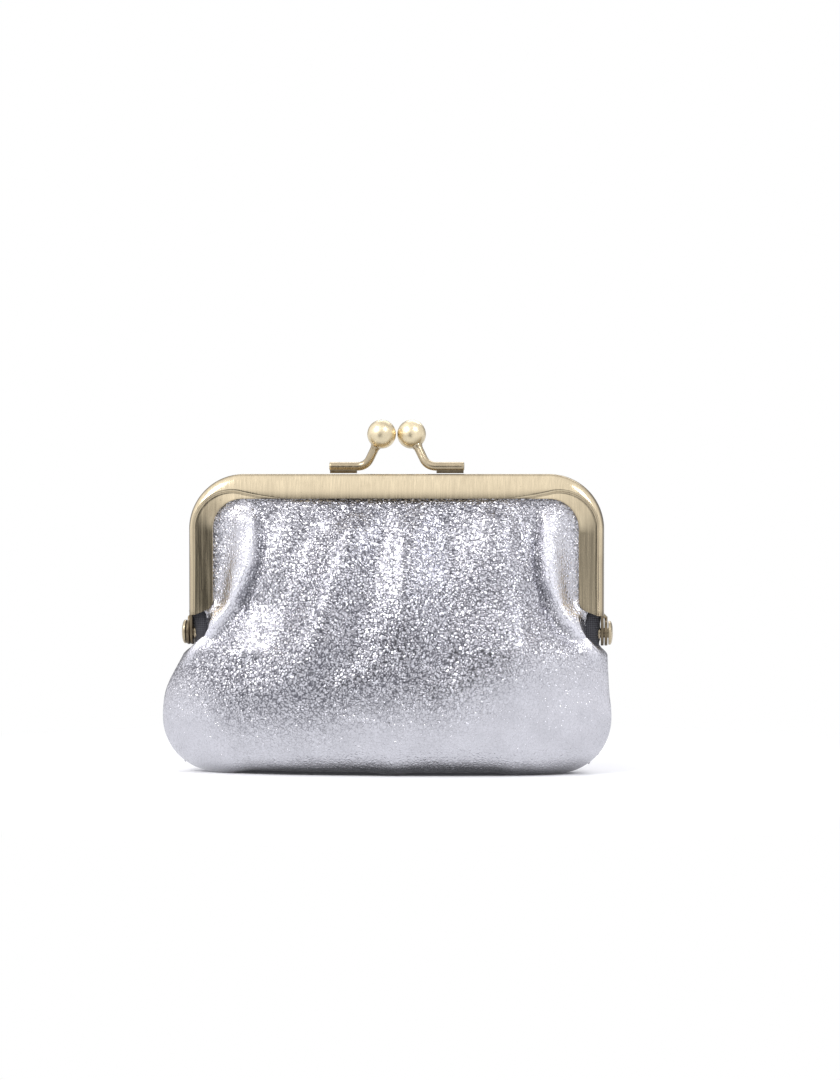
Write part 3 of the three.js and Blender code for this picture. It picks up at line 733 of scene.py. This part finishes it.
def ball_parts(f):
    ball, _, up = clasp_points(f)
    rows, sides, collar = 44, 64, 0.30
    turn = math.pi - np.linspace(0.04, math.pi - collar, rows)
    profile = [(-f.ball_radius * math.cos(a), f.ball_radius * math.sin(a)) for a in turn]
    neck = f.ball_radius * math.cos(collar)
    profile += [(-neck - 0.10, f.ball_radius * math.sin(collar) * 0.98),
                (-neck - 0.22, f.ball_radius * 0.27)]
    place = np.linspace(0.0, 1.0, rows)
    # The ball darkens at its far end and toward its neck: tarnish where it meets the neck, and painted
    # shade for its darker lower side.
    ball_tarnish_and_shade = 0.4 * (1 - ramp(place, 0.06, 0.34)) + 0.3 * ramp(place, 0.72, 0.95)
    return Parts().loft(lathe(profile, ball, up, sides), np.repeat([*ball_tarnish_and_shade, 0.7, 0.8], sides))


class PURSE_OT_clasp(bpy.types.Operator):
    """Builds the two bent clasp stalks and their balls"""

    bl_idname = "purse.clasp"
    bl_label = "Clasp"

    def execute(self, context):
        f, _, looks = sizes(context)
        rough = looks.brass_roughness
        rod = brass_material("drawn_brass", looks, (900.0, 900.0, 500.0), 1.0, rough)
        # The balls' brass is 1.12 times brighter, as painted light.
        turned = brass_material("turned_brass", looks, (600.0, 600.0, 600.0), 1.12, rough + 0.16)
        pieces = (("clasp_stalk", stalk_parts(f), rod), ("clasp_ball", ball_parts(f), turned))
        for half, turn in HALVES.items():
            for name, parts, material in pieces:
                obj = parts.object(f"{half}_{name}_brass", material, 50.0, turn)
                attach(obj, f"{half}_half", f"{half}_{name}")
        return {"FINISHED"}


class PURSE_OT_rivets(bpy.types.Operator):
    """Builds the two hinge rivets with domed heads and flattened tails"""

    bl_idname = "purse.rivets"
    bl_label = "Hinge rivets"

    def execute(self, context):
        f, _, looks = sizes(context)
        rough = looks.brass_roughness + 0.04
        brass = brass_material("rivet_brass", looks, (700.0, 700.0, 700.0), 0.9, rough)
        head = f.half_width + f.lug_step + f.lug_gap
        tail = f.half_width - f.sheet - f.lug_gap
        wide, broad = f.rivet_head_radius, f.rivet_tail_radius
        profile = [(tail - f.rivet_tail, 0.02), (tail - f.rivet_tail * 0.98, broad * 0.72)]
        for a in np.linspace(0.0, math.pi / 2, 6):
            back = tail - f.rivet_tail * (0.45 + 0.5 * math.cos(a))
            profile.append((back, broad * (0.78 + 0.22 * math.sin(a))))
        profile += [(tail, broad), (tail, f.rivet_radius), (head, f.rivet_radius),
                    (head, wide * 0.96), (head + 0.08, wide)]
        marks = [0.5] * len(profile)
        for k, a in enumerate(np.linspace(0.0, math.pi / 2 - 0.03, 16)):
            profile.append((head + f.rivet_head * (0.35 + 0.65 * math.sin(a)), wide * math.cos(a)))
            marks.append(0.35 - 0.02 * k)
        for name, side in (("left", -1), ("right", 1)):
            rings = lathe(profile, (0.0, 0.0, f.hinge), (side, 0.0, 0.0))
            parts = Parts().loft(rings, np.repeat(marks, rings.shape[1]))
            obj = parts.object(f"{name}_hinge_rivet_brass", brass, 40.0)
            attach(obj, "back_half", f"{name}_hinge_rivet")
        return {"FINISHED"}


# Leather, lining, cord and thread

# Folds run from the frame's corners to the sides: the outer side's sign, and (x, z) up the ridge.
FOLDS = [
    (-1, [(-50.5, 26.0), (-48.0, 29.9), (-44.0, 34.8), (-40.4, 39.6), (-37.2, 45.3), (-35.0, 51.0),
          (-34.6, 57.4), (-35.6, 65.7)]),
    (1, [(49.0, 27.5), (46.4, 31.6), (42.0, 36.5), (39.2, 41.3), (37.0, 47.0), (36.4, 55.0), (36.6, 64.0)]),
]

# Widths of a fold's steep inner flank and its soft outer one.
FOLD_INNER = 1.5
FOLD_OUTER = 6.4

# Soft waves in the middle: x and z of the top, x and z of the bottom, height, width.
WAVES = [
    (-8.0, 63.0, -23.5, 19.0, 1.8, 5.4),
    (-20.0, 62.0, -33.0, 24.0, -1.2, 4.6),
    (-2.0, 64.0, -9.0, 26.0, -1.2, 4.4),
    (3.5, 64.0, 2.5, 34.0, 1.0, 4.2),
    (13.0, 64.0, 15.0, 24.0, -1.6, 5.0),
    (24.5, 64.0, 32.5, 20.0, 1.7, 5.2),
    (-12.0, 30.0, -14.0, 22.0, -0.6, 4.0),
]

# Half widths beside the hinge, as height and half width, between the pouch's side and the frame's leg.
LEATHER_SIDES = [(30.0, 50.9), (31.2, 49.2), (32.6, 47.2), (35.0, 46.3), (38.5, 46.3)]
# Beside the hinge the lining reaches out past the leather's edge, so that its near-black cloth fills the
# gap there as painted shade.
LINING_SIDES = [(29.6, 50.0), (31.0, 50.55), (36.2, 50.6), (36.7, 50.78), (41.0, 50.78)]
SIDE_LOW = 29.0
SIDE_HIGH = 43.0

# Rows of points on the base, round the belly and above it, and the columns.
LEATHER_ROWS, LEATHER_COLUMNS = (16, 40, 130), 321
LINING_ROWS, LINING_COLUMNS = (8, 16, 60), 121

# How far the visible front lies inside the solid's, and the share of the leather's thickness that shows.
BELLY_INSET = 0.2
LEATHER_FACTOR = 0.8

# Stitches of the side seams.
STITCH_PITCH = 2.2
STITCH_REACH = 0.9
STITCH_SLANT = 0.55
STITCH_DIP = 0.35
THREAD_RADIUS = 0.16


def rounded_out(z, fullest, base, belly):
    short = np.maximum(1 - z / fullest, 0.0)
    return lerp(base, belly, np.sqrt(1 - short ** 2))


def pouch_half_width(s, z):
    up = np.maximum((z - s.belly_height) / (s.front_height - s.belly_height), 0.0)
    return lerp(rounded_out(z, s.belly_height, s.base_width, s.belly_width), s.rim_width, up ** 1.9) / 2


def panel_half_width(f, s, z, sides):
    """Half width of a panel: the pouch's below the hinge, the edge inside the channel above it."""
    edge = f.half_width - s.tuck
    start = pouch_half_width(s, SIDE_LOW)
    side = np.interp(z, *zip((SIDE_LOW, start), *sides, (SIDE_HIGH, edge)))
    corner = f.corner_radius - s.tuck
    over = np.clip((z - (s.top - corner)) / corner, 0.0, 1.0)
    top = edge - corner * (1 - np.sqrt(1 - over ** 2))
    low = pouch_half_width(s, np.minimum(z, SIDE_LOW))
    return np.where(z < SIDE_LOW, low, np.where(z < SIDE_HIGH, side, top))


def panel_depth(f, s, z):
    """Front of a panel from the middle plane: it puffs out below the frame and rounds in to the base."""
    peak = s.belly_depth / 2 - BELLY_INSET
    low = rounded_out(z, s.front_height, s.base_depth / 2, peak)
    down = np.clip((f.lip_top - z) / (f.lip_top - s.front_height), 0.0, 1.0)
    return np.where(z < s.front_height, low, s.front + (peak - s.front) * (1 - (1 - down) ** 1.8))


def surface_normals(points):
    normal = np.cross(np.gradient(points, axis=1), np.gradient(points, axis=0))
    return normal / np.maximum(np.linalg.norm(normal, axis=-1, keepdims=True), 1e-9)


def panel_grid(f, s, inset, rows, columns, sides, relief):
    """Points of a front panel from the base seam to the channel. Inset moves it inwards, as for a lining.
    Relief gives the height to add along the surface, where the panel is free of the frame."""
    base_rows, belly_rows, upper_rows = rows
    turn = np.linspace(0.0, math.pi / 2, belly_rows + 1)[1:]
    heights = np.concatenate([np.zeros(base_rows), s.belly_height * (1 - np.cos(turn)),
                              np.linspace(s.belly_height, s.top, upper_rows + 1)[1:]])
    base = np.concatenate([np.linspace(0.0, 1.0, base_rows), np.ones(len(heights) - base_rows)])
    u = np.sin(np.linspace(-1.0, 1.0, columns) * math.pi / 2)
    z, u = np.meshgrid(heights, u, indexing="ij")
    base = np.repeat(base[:, None], columns, axis=1)
    under = base < 1.0
    wall = np.where(under, 0.0, 1.0)
    # The base's seam is shorter than the base.
    foot = s.base_width / 2 - 5.0
    x = u * np.where(under, lerp(foot, s.base_width / 2, base), panel_half_width(f, s, z, sides) - inset)
    across = np.abs(x) / (f.lip_side - 0.2)
    down = np.clip((f.lip_top - z) / (f.lip_top - f.hinge), 0.0, 1.0)
    corner = np.maximum(2 * across - 1, 0.0) * np.maximum(1 - 2 * down, 0.0)
    # In plan, the pouch bulges almost to its seams, and the part in the frame mostly in the middle.
    low_plan = np.maximum(1 - np.abs(u) ** 2.5, 0.0) ** 0.62
    high_plan = np.maximum(1 - across ** 2.5, 0.0) ** 1.5 * (1 - ramp(corner, 0.0, 0.55))
    plan = lerp(low_plan, high_plan, ramp(z, 30.0, SIDE_HIGH))
    edge = lerp(s.seam_gap, s.front - inset, ramp(z, 28.0 + 1.6 * inset, 39.5 + 1.6 * inset))
    y = -(edge + (panel_depth(f, s, z) - inset - edge) * plan)
    y = np.where(under, lerp(-s.seam_gap, y, base), y)
    points = np.stack([x, y, np.maximum(z, inset)], axis=-1)
    # The relief fades out at the bar, the legs, the seams and the base.
    from_leg = ramp(f.lip_side - np.abs(x), 0.3, 6.5)
    from_seam = ramp((1 - np.abs(u)) * s.belly_width / 2, 0.0, 3.0)
    free = ramp(f.lip_top - z, 0.3, 5.0) * lerp(1.0, from_leg, ramp(z, 36.0, SIDE_HIGH))
    free = free * wall * ramp(z, 0.0, 2.0) * from_seam
    points = points + surface_normals(points) * (relief(points, x, z) * free)[..., None]
    groove = s.seam_groove * hill(points[..., 1], 0.0, 1.1) * (1 - ramp(z, 24.0, 30.0)) * wall
    points[..., 0] -= np.sign(x) * groove
    return points


def folds(s, x, z):
    """Height of the folds. Then from 0 to 1: depth in a crease, painted as shade, smoothness, and nearness
    to a ridge, painted as a highlight.
    """
    total, crease_shade, smooth, ridge_highlight = (np.zeros_like(x) for _ in range(4))
    for outer, path in FOLDS:
        ridge_x, ridge_z = np.array(path).T
        low, top = ridge_z[0], ridge_z[-1]
        off = (x - np.interp(z, ridge_z, ridge_x)) * outer
        fade = ramp(z, low - 2.0, low + 7.0) * (1 - ramp(z, top - 6.0, top + 4.0))
        shape = hill(off, 0.0, np.where(off < 0, FOLD_INNER, FOLD_OUTER))
        # Low down, the crease is wider and lies farther from the ridge.
        soft = 1 - ramp(z, 34.0, 46.0)
        crease = fade * ramp(z, 30.0, 42.0) * (1 - 0.3 * ramp(z, 54.0, 62.0))
        crease = crease * hill(off, lerp(-2.2, -3.4, soft), lerp(0.9, 2.0, soft))
        total += s.fold_height * fade * shape - s.fold_crease * crease
        # Deep in the crease the foil gets painted shade.
        crease_shade = np.maximum(crease_shade, crease ** 2 * (1 - 0.6 * soft))
        smooth = np.maximum(smooth, fade * np.maximum(hill(off, 0.4, 1.5), 0.75 * hill(off, 3.5, 4.0)))
        # Near the ridge the foil gets a painted highlight.
        ridge_highlight = np.maximum(ridge_highlight, fade * hill(off, 0.9, 1.4))
    return total, crease_shade, smooth, ridge_highlight


def wave_height(x, z):
    total = np.zeros_like(x)
    for top_x, top_z, low_x, low_z, height, width in WAVES:
        centre = lerp(low_x, top_x, np.clip((z - low_z) / (top_z - low_z), -0.2, 1.2))
        fade = ramp(z, low_z - 4.0, low_z + 5.0) * (1 - ramp(z, top_z - 5.0, top_z + 3.0))
        total += height * fade * hill(x, centre, width)
    return total


def leather_relief(f, s, seed):
    """Folds, soft waves, lumps and the puckers under the frame's bar."""

    def relief(points, x, z):
        pucker = np.sin(x * 0.95 + 1.3 * np.sin(x * 0.21 + seed)) * hill(z, f.lip_top - 3.0, 5.0)
        rough = 0.28 * lumps(points, 13.0, seed) + 0.12 * lumps(points, 5.0, seed + 1)
        return folds(s, x, z)[0] + wave_height(x, z) + rough + 0.2 * pucker

    return relief


def crackle_grain(side, high, smooth):
    """Strength of the crackle from 0 to 1: weaker near the base, to the sides and on the folds."""
    raised = 4.0 * ramp(-side, 4.0, 22.0) - 9.0 * ramp(-side, 36.0, 52.0) - 11.0 * ramp(side, 8.0, 46.0)
    finer = 0.28 * ramp(side, 8.0, 36.0) + 0.25 * ramp(-side, 14.0, 32.0) * ramp(high, 22.0, 34.0)
    return ramp(high + raised, 2.0, 28.0) * (1 - finer) * (1 - 0.85 * smooth)


def lean_at(s, z):
    """How far the pouch sags to the left at a height."""
    return s.lean * (1 - ramp(z, 18.0, 33.0))


def settle(s, points, turn, inset):
    """Turns a front panel to its half, leans the pouch and lifts the middle of the base."""
    points = points * np.array([turn, turn, 1.0])
    x, z = points[..., 0], points[..., 2]
    # The base rests on its two ends and on a small place in the middle.
    window = ramp(x, -40.0, -31.0) * (1 - ramp(x, 25.0, 33.0)) * (1 - 0.6 * hill(x, 2.0, 3.5))
    points[..., 2] = np.maximum(z + s.base_lift * window * (1 - ramp(z, 0.0, 8.0)), inset + 0.02)
    points[..., 0] -= lean_at(s, z)
    return points


def arc_lengths(points):
    """Texture coordinates in metres: across from the middle column and up from the first row."""
    middle = points.shape[1] // 2
    across = np.linalg.norm(np.diff(points, axis=1), axis=-1)
    u = np.concatenate([np.zeros((len(points), 1)), np.cumsum(across, axis=1)], axis=1)
    u -= u[:, middle:middle + 1]
    along = np.linalg.norm(np.diff(points[:, middle], axis=0), axis=-1)
    v = np.concatenate([[0.0], np.cumsum(along)])
    return np.stack([u, np.repeat(v[:, None], points.shape[1], axis=1)], axis=-1) * MM


def sheet_mesh(name, points, thickness, material, marks):
    """Makes a closed sheet: the given outer surface, an inner one behind it and the rims between them."""
    rows, columns = points.shape[:2]
    inner = points - surface_normals(points) * thickness
    inner[..., 2] = np.maximum(inner[..., 2], points[..., 2].min())
    count = rows * columns
    outside = grid_faces(rows, columns)
    faces = outside + [[count + k for k in face[::-1]] for face in outside]
    rim = list(range(columns)) + [r * columns + columns - 1 for r in range(1, rows)]
    rim += [count - 1 - k for k in range(1, columns)] + [r * columns for r in range(rows - 2, 0, -1)]
    faces += [(a, a + count, b + count, b) for a, b in zip(rim, rim[1:] + rim[:1])]
    both = np.concatenate([points.reshape(-1, 3), inner.reshape(-1, 3)])
    uv = np.tile(arc_lengths(points).reshape(-1, 2), (2, 1))
    marks = {key: np.tile(values.ravel(), 2) for key, values in marks.items()}
    return build_mesh(name, both, faces, material, 70.0, marks, uv)


def flat_cut(points):
    """Width, length and area of the flat piece that a panel was cut from, in metres."""
    uv = arc_lengths(points)
    width = float(np.ptp(uv[..., 0], axis=1).max())
    length_up = float(uv[..., 1].max())
    a, b = points[1:, 1:] - points[:-1, :-1], points[1:, :-1] - points[:-1, 1:]
    area = float(np.linalg.norm(np.cross(a, b), axis=-1).sum() / 2) * MM * MM
    return (width, length_up), min(area, width * length_up)


def hang(obj, points):
    """Works out the flat piece a panel was cut from, which nothing uses, bakes the panel's place into its
    mesh and hides the CAD pieces it stands for.
    """
    flat, area = flat_cut(points)
    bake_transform(obj)
    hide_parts(f"{obj.name}_upper", f"{obj.name}_lower")


class PURSE_OT_leather(bpy.types.Operator):
    """Builds the front and back leather panels with their folds"""

    bl_idname = "purse.leather"
    bl_label = "Leather panels"

    def execute(self, context):
        f, s, looks = sizes(context)
        foil = foil_material("silver_foil_leather", looks)
        for half, turn in HALVES.items():
            relief = leather_relief(f, s, 1 if half == "front" else 9)
            points = panel_grid(f, s, 0.0, LEATHER_ROWS, LEATHER_COLUMNS, LEATHER_SIDES, relief)
            _, crease_shade, smooth, ridge_highlight = folds(s, points[..., 0], points[..., 2])
            points = settle(s, points, turn, 0.0)
            grain = crackle_grain(points[..., 0] * turn, points[..., 2], smooth)
            # The folds' crease and ridge marks paint shade and a highlight into the foil.
            marks = {"grain": grain, "crease_shade": crease_shade, "ridge": ridge_highlight}
            obj = sheet_mesh(f"{half}_leather", points, s.leather * LEATHER_FACTOR, foil, marks)
            hang(obj, points)
        return {"FINISHED"}


class PURSE_OT_lining(bpy.types.Operator):
    """Builds the front and back lining"""

    bl_idname = "purse.lining"
    bl_label = "Lining"

    def execute(self, context):
        f, s, looks = sizes(context)
        cloth = lining_material("dark_lining", looks)
        inset = s.leather + s.layer_gap

        # The lining hangs back behind the leather, except beside the hinge, where it comes forward and its
        # dark cloth stands in for the shade in the gap.
        def slack(points, x, z):
            return -s.lining_slack * (1 - ramp(np.abs(x), 44.5, 47.5) * ramp(z, 28.0, 31.0))

        for half, turn in HALVES.items():
            points = panel_grid(f, s, inset, LINING_ROWS, LINING_COLUMNS, LINING_SIDES, slack)
            points = settle(s, points, turn, inset)
            obj = sheet_mesh(f"{half}_lining", points, s.lining, cloth, {})
            hang(obj, points)
        return {"FINISHED"}


class PURSE_OT_paper_cords(bpy.types.Operator):
    """Builds the twisted paper cords that hold the leather in the channels"""

    bl_idname = "purse.paper_cords"
    bl_label = "Paper cords"

    def execute(self, context):
        f, _, looks = sizes(context)
        paper = fibre_material("twisted_paper", looks.paper, scaled(looks.paper, 0.55), 900.0)
        low, high = box_mm("front_paper_cord")
        middle, thick = (low[1] + high[1]) / 2, (high[1] - low[1]) / 2
        tall, strands, twist_length, sides = 1.1, 3, 2.4, 24
        edge_x, edge_z = high[0] - tall, high[2] - tall
        corner = max(f.corner_radius - (f.half_width - edge_x), 1.0)
        turn_x, turn_z = edge_x - corner, edge_z - corner
        path = [(x, edge_z) for x in np.linspace(0.0, turn_x, 120)[:-1]]
        for a in np.linspace(0.0, math.pi / 2, 40):
            path.append((turn_x + corner * math.sin(a), turn_z + corner * math.cos(a)))
        path += [(edge_x, z) for z in np.linspace(turn_z, low[2], 60)[1:]]
        path = [(-x, z) for x, z in path[:0:-1]] + path
        centres = np.array([(x, middle, z) for x, z in path])
        along = np.concatenate([[0.0], np.cumsum(np.linalg.norm(np.diff(centres, axis=0), axis=1))])
        ring = np.linspace(0.0, 2 * np.pi, sides, endpoint=False)
        twist = np.cos(strands * ring[None] - along[:, None] * 2 * np.pi / twist_length)
        size = 1 - 0.09 * (0.5 - 0.5 * twist)
        outline = circle(sides) * (tall, thick) * size[..., None]
        parts = Parts().loft(sweep(centres, outline))
        for half, turn in HALVES.items():
            obj = parts.object(f"{half}_paper_cord_twisted", paper, 60.0, turn)
            attach(obj, f"{half}_half", f"{half}_paper_cord")
        return {"FINISHED"}


class PURSE_OT_seam_thread(bpy.types.Operator):
    """Builds the stitches that close the side seams"""

    bl_idname = "purse.seam_thread"
    bl_label = "Seam thread"

    def execute(self, context):
        _, s, _ = sizes(context)
        grey = fibre_material("seam_thread_grey", (0.50, 0.50, 0.54), (0.20, 0.20, 0.23), 4000.0)
        parts = Parts()
        t = np.linspace(-1.0, 1.0, 9)
        for side in (-1, 1):
            for z in np.arange(3.0, 27.5, STITCH_PITCH):
                width = pouch_half_width(s, z) - s.seam_groove - 0.10
                x = side * (width - STITCH_DIP * t ** 2)
                centres = np.stack([x, t * STITCH_REACH, z + t * STITCH_SLANT], axis=1)
                centres[:, 0] -= lean_at(s, centres[:, 2])
                parts.loft(sweep(centres, circle(10) * THREAD_RADIUS, (0.0, 0.0, 1.0)))
        obj = parts.object("side_seam_thread", grey, 60.0)
        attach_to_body(obj, "pouch")
        return {"FINISHED"}


# Stage


# What the lights look at, in metres.
PURSE_MIDDLE = Vector((0.0, 0.0, 0.045))


def aim(obj, place, target):
    """Puts a light or a camera in its place and turns it to its target."""
    obj.location = place
    obj.rotation_euler = (target - place).to_track_quat("-Z", "Y").to_euler()


def area_light(name, place, size, watts, tint):
    data = bpy.data.lights.new(name, "AREA")
    data.shape, data.size, data.size_y = "RECTANGLE", *size
    data.energy, data.color = watts, tint
    aim(add_object(name, data), Vector(place), PURSE_MIDDLE)


def studio_world():
    """White where the camera looks. The light on the purse is a soft studio that is dim behind it and,
    at eye level, in front."""
    n = Nodes(bpy.data.worlds.new("studio"))
    direction = n.add("ShaderNodeTexCoord").outputs["Generated"]
    x, y, z = n.add("ShaderNodeSeparateXYZ", {0: direction}).outputs
    low = n.plus(n.remap(x, -0.50, -0.16, 1.10, 0.05), n.remap(x, -0.14, 0.30))
    high = n.remap(x, -0.60, 0.45, 1.16, 0.96)
    level = n.add("ShaderNodeMix", {0: n.remap(z, 0.09, 0.36), 2: low, 3: high}).outputs[0]
    strength = n.times(level, n.remap(y, 0.35, 0.92, 1.0, 0.30))
    room = n.add("ShaderNodeBackground", {0: (0.97, 0.97, 1.0, 1.0), 1: strength}).outputs[0]
    white = n.add("ShaderNodeBackground", {0: (1.0, 1.0, 1.0, 1.0)}).outputs[0]
    seen = n.add("ShaderNodeLightPath").outputs["Is Camera Ray"]
    mixed = n.add("ShaderNodeMixShader", {0: seen, 1: room, 2: white}).outputs[0]
    n.add("ShaderNodeOutputWorld", {0: mixed})
    bpy.context.scene.world = n.owner


class PURSE_OT_stage(bpy.types.Operator):
    """Sets the camera, the pale floor and the soft lights"""

    bl_idname = "purse.stage"
    bl_label = "Stage"

    def execute(self, context):
        scene, stage = context.scene, context.scene.purse_stage
        scene.view_settings.view_transform = "Standard"
        scene.view_settings.look = "None"
        right = Vector((math.cos(stage.yaw), math.sin(stage.yaw), 0.0))
        away = Vector((math.sin(stage.yaw), -math.cos(stage.yaw), 0.0))
        target = right * stage.view_side + Vector((0.0, 0.0, stage.view_centre))
        data = bpy.data.cameras.new("photo_camera")
        data.sensor_width = 36.0
        data.lens = data.sensor_width * stage.distance / stage.view_height
        data.clip_start, data.clip_end = 0.01, 50.0
        above = Vector((0.0, 0.0, stage.height - stage.view_centre))
        scene.camera = add_object("photo_camera", data)
        aim(scene.camera, target + away * stage.distance + above, target)

        size = 2.5
        corners = [(-size, -size, 0), (size, -size, 0), (size, size, 0), (-size, size, 0)]
        mesh = bpy.data.meshes.new("floor")
        mesh.from_pydata(corners, [], [(0, 1, 2, 3)])
        mesh.materials.append(floor_material())
        add_object("floor", mesh)

        studio_world()
        area_light("key_light", (-0.55, -0.55, 0.70), (0.34, 0.34), stage.key, (1.0, 0.985, 0.97))
        area_light("fill_light", (0.55, -0.60, 0.75), (0.28, 0.28), stage.fill, (0.96, 0.97, 1.0))
        area_light("back_light", (0.10, 0.70, 0.70), (0.70, 0.40), stage.fill, (1.0, 1.0, 1.0))
        return {"FINISHED"}


class PURSE_PT_panel(bpy.types.Panel):
    """Sidebar panel that lists the purse's pieces and sizes"""

    bl_idname = "PURSE_PT_panel"
    bl_label = "Clasp coin purse"
    bl_space_type = "VIEW_3D"
    bl_region_type = "UI"
    bl_category = "Purse"

    def draw(self, context):
        layout = self.layout
        for operator in OPERATORS:
            layout.operator(operator.bl_idname)
        for name, group in SETTINGS.items():
            box = layout.box()
            box.label(text=group.__doc__)
            for prop in group.__annotations__:
                box.prop(getattr(context.scene, name), prop)


OPERATORS = (PURSE_OT_stage, PURSE_OT_frame_halves, PURSE_OT_clasp, PURSE_OT_rivets, PURSE_OT_paper_cords,
             PURSE_OT_lining, PURSE_OT_leather, PURSE_OT_seam_thread)
CLASSES = (*SETTINGS.values(), *OPERATORS, PURSE_PT_panel)


def register():
    for cls in CLASSES:
        bpy.utils.register_class(cls)
    for name, group in SETTINGS.items():
        setattr(bpy.types.Scene, name, PointerProperty(type=group))


def unregister():
    for name in SETTINGS:
        delattr(bpy.types.Scene, name)
    for cls in reversed(CLASSES):
        bpy.utils.unregister_class(cls)


def main():
    register()
    bpy.ops.purse.stage()
    bpy.ops.purse.frame_halves()
    bpy.ops.purse.clasp()
    bpy.ops.purse.rivets()
    bpy.ops.purse.paper_cords()
    bpy.ops.purse.lining()
    bpy.ops.purse.leather()
    bpy.ops.purse.seam_thread()


if __name__ == "__main__":
    main()
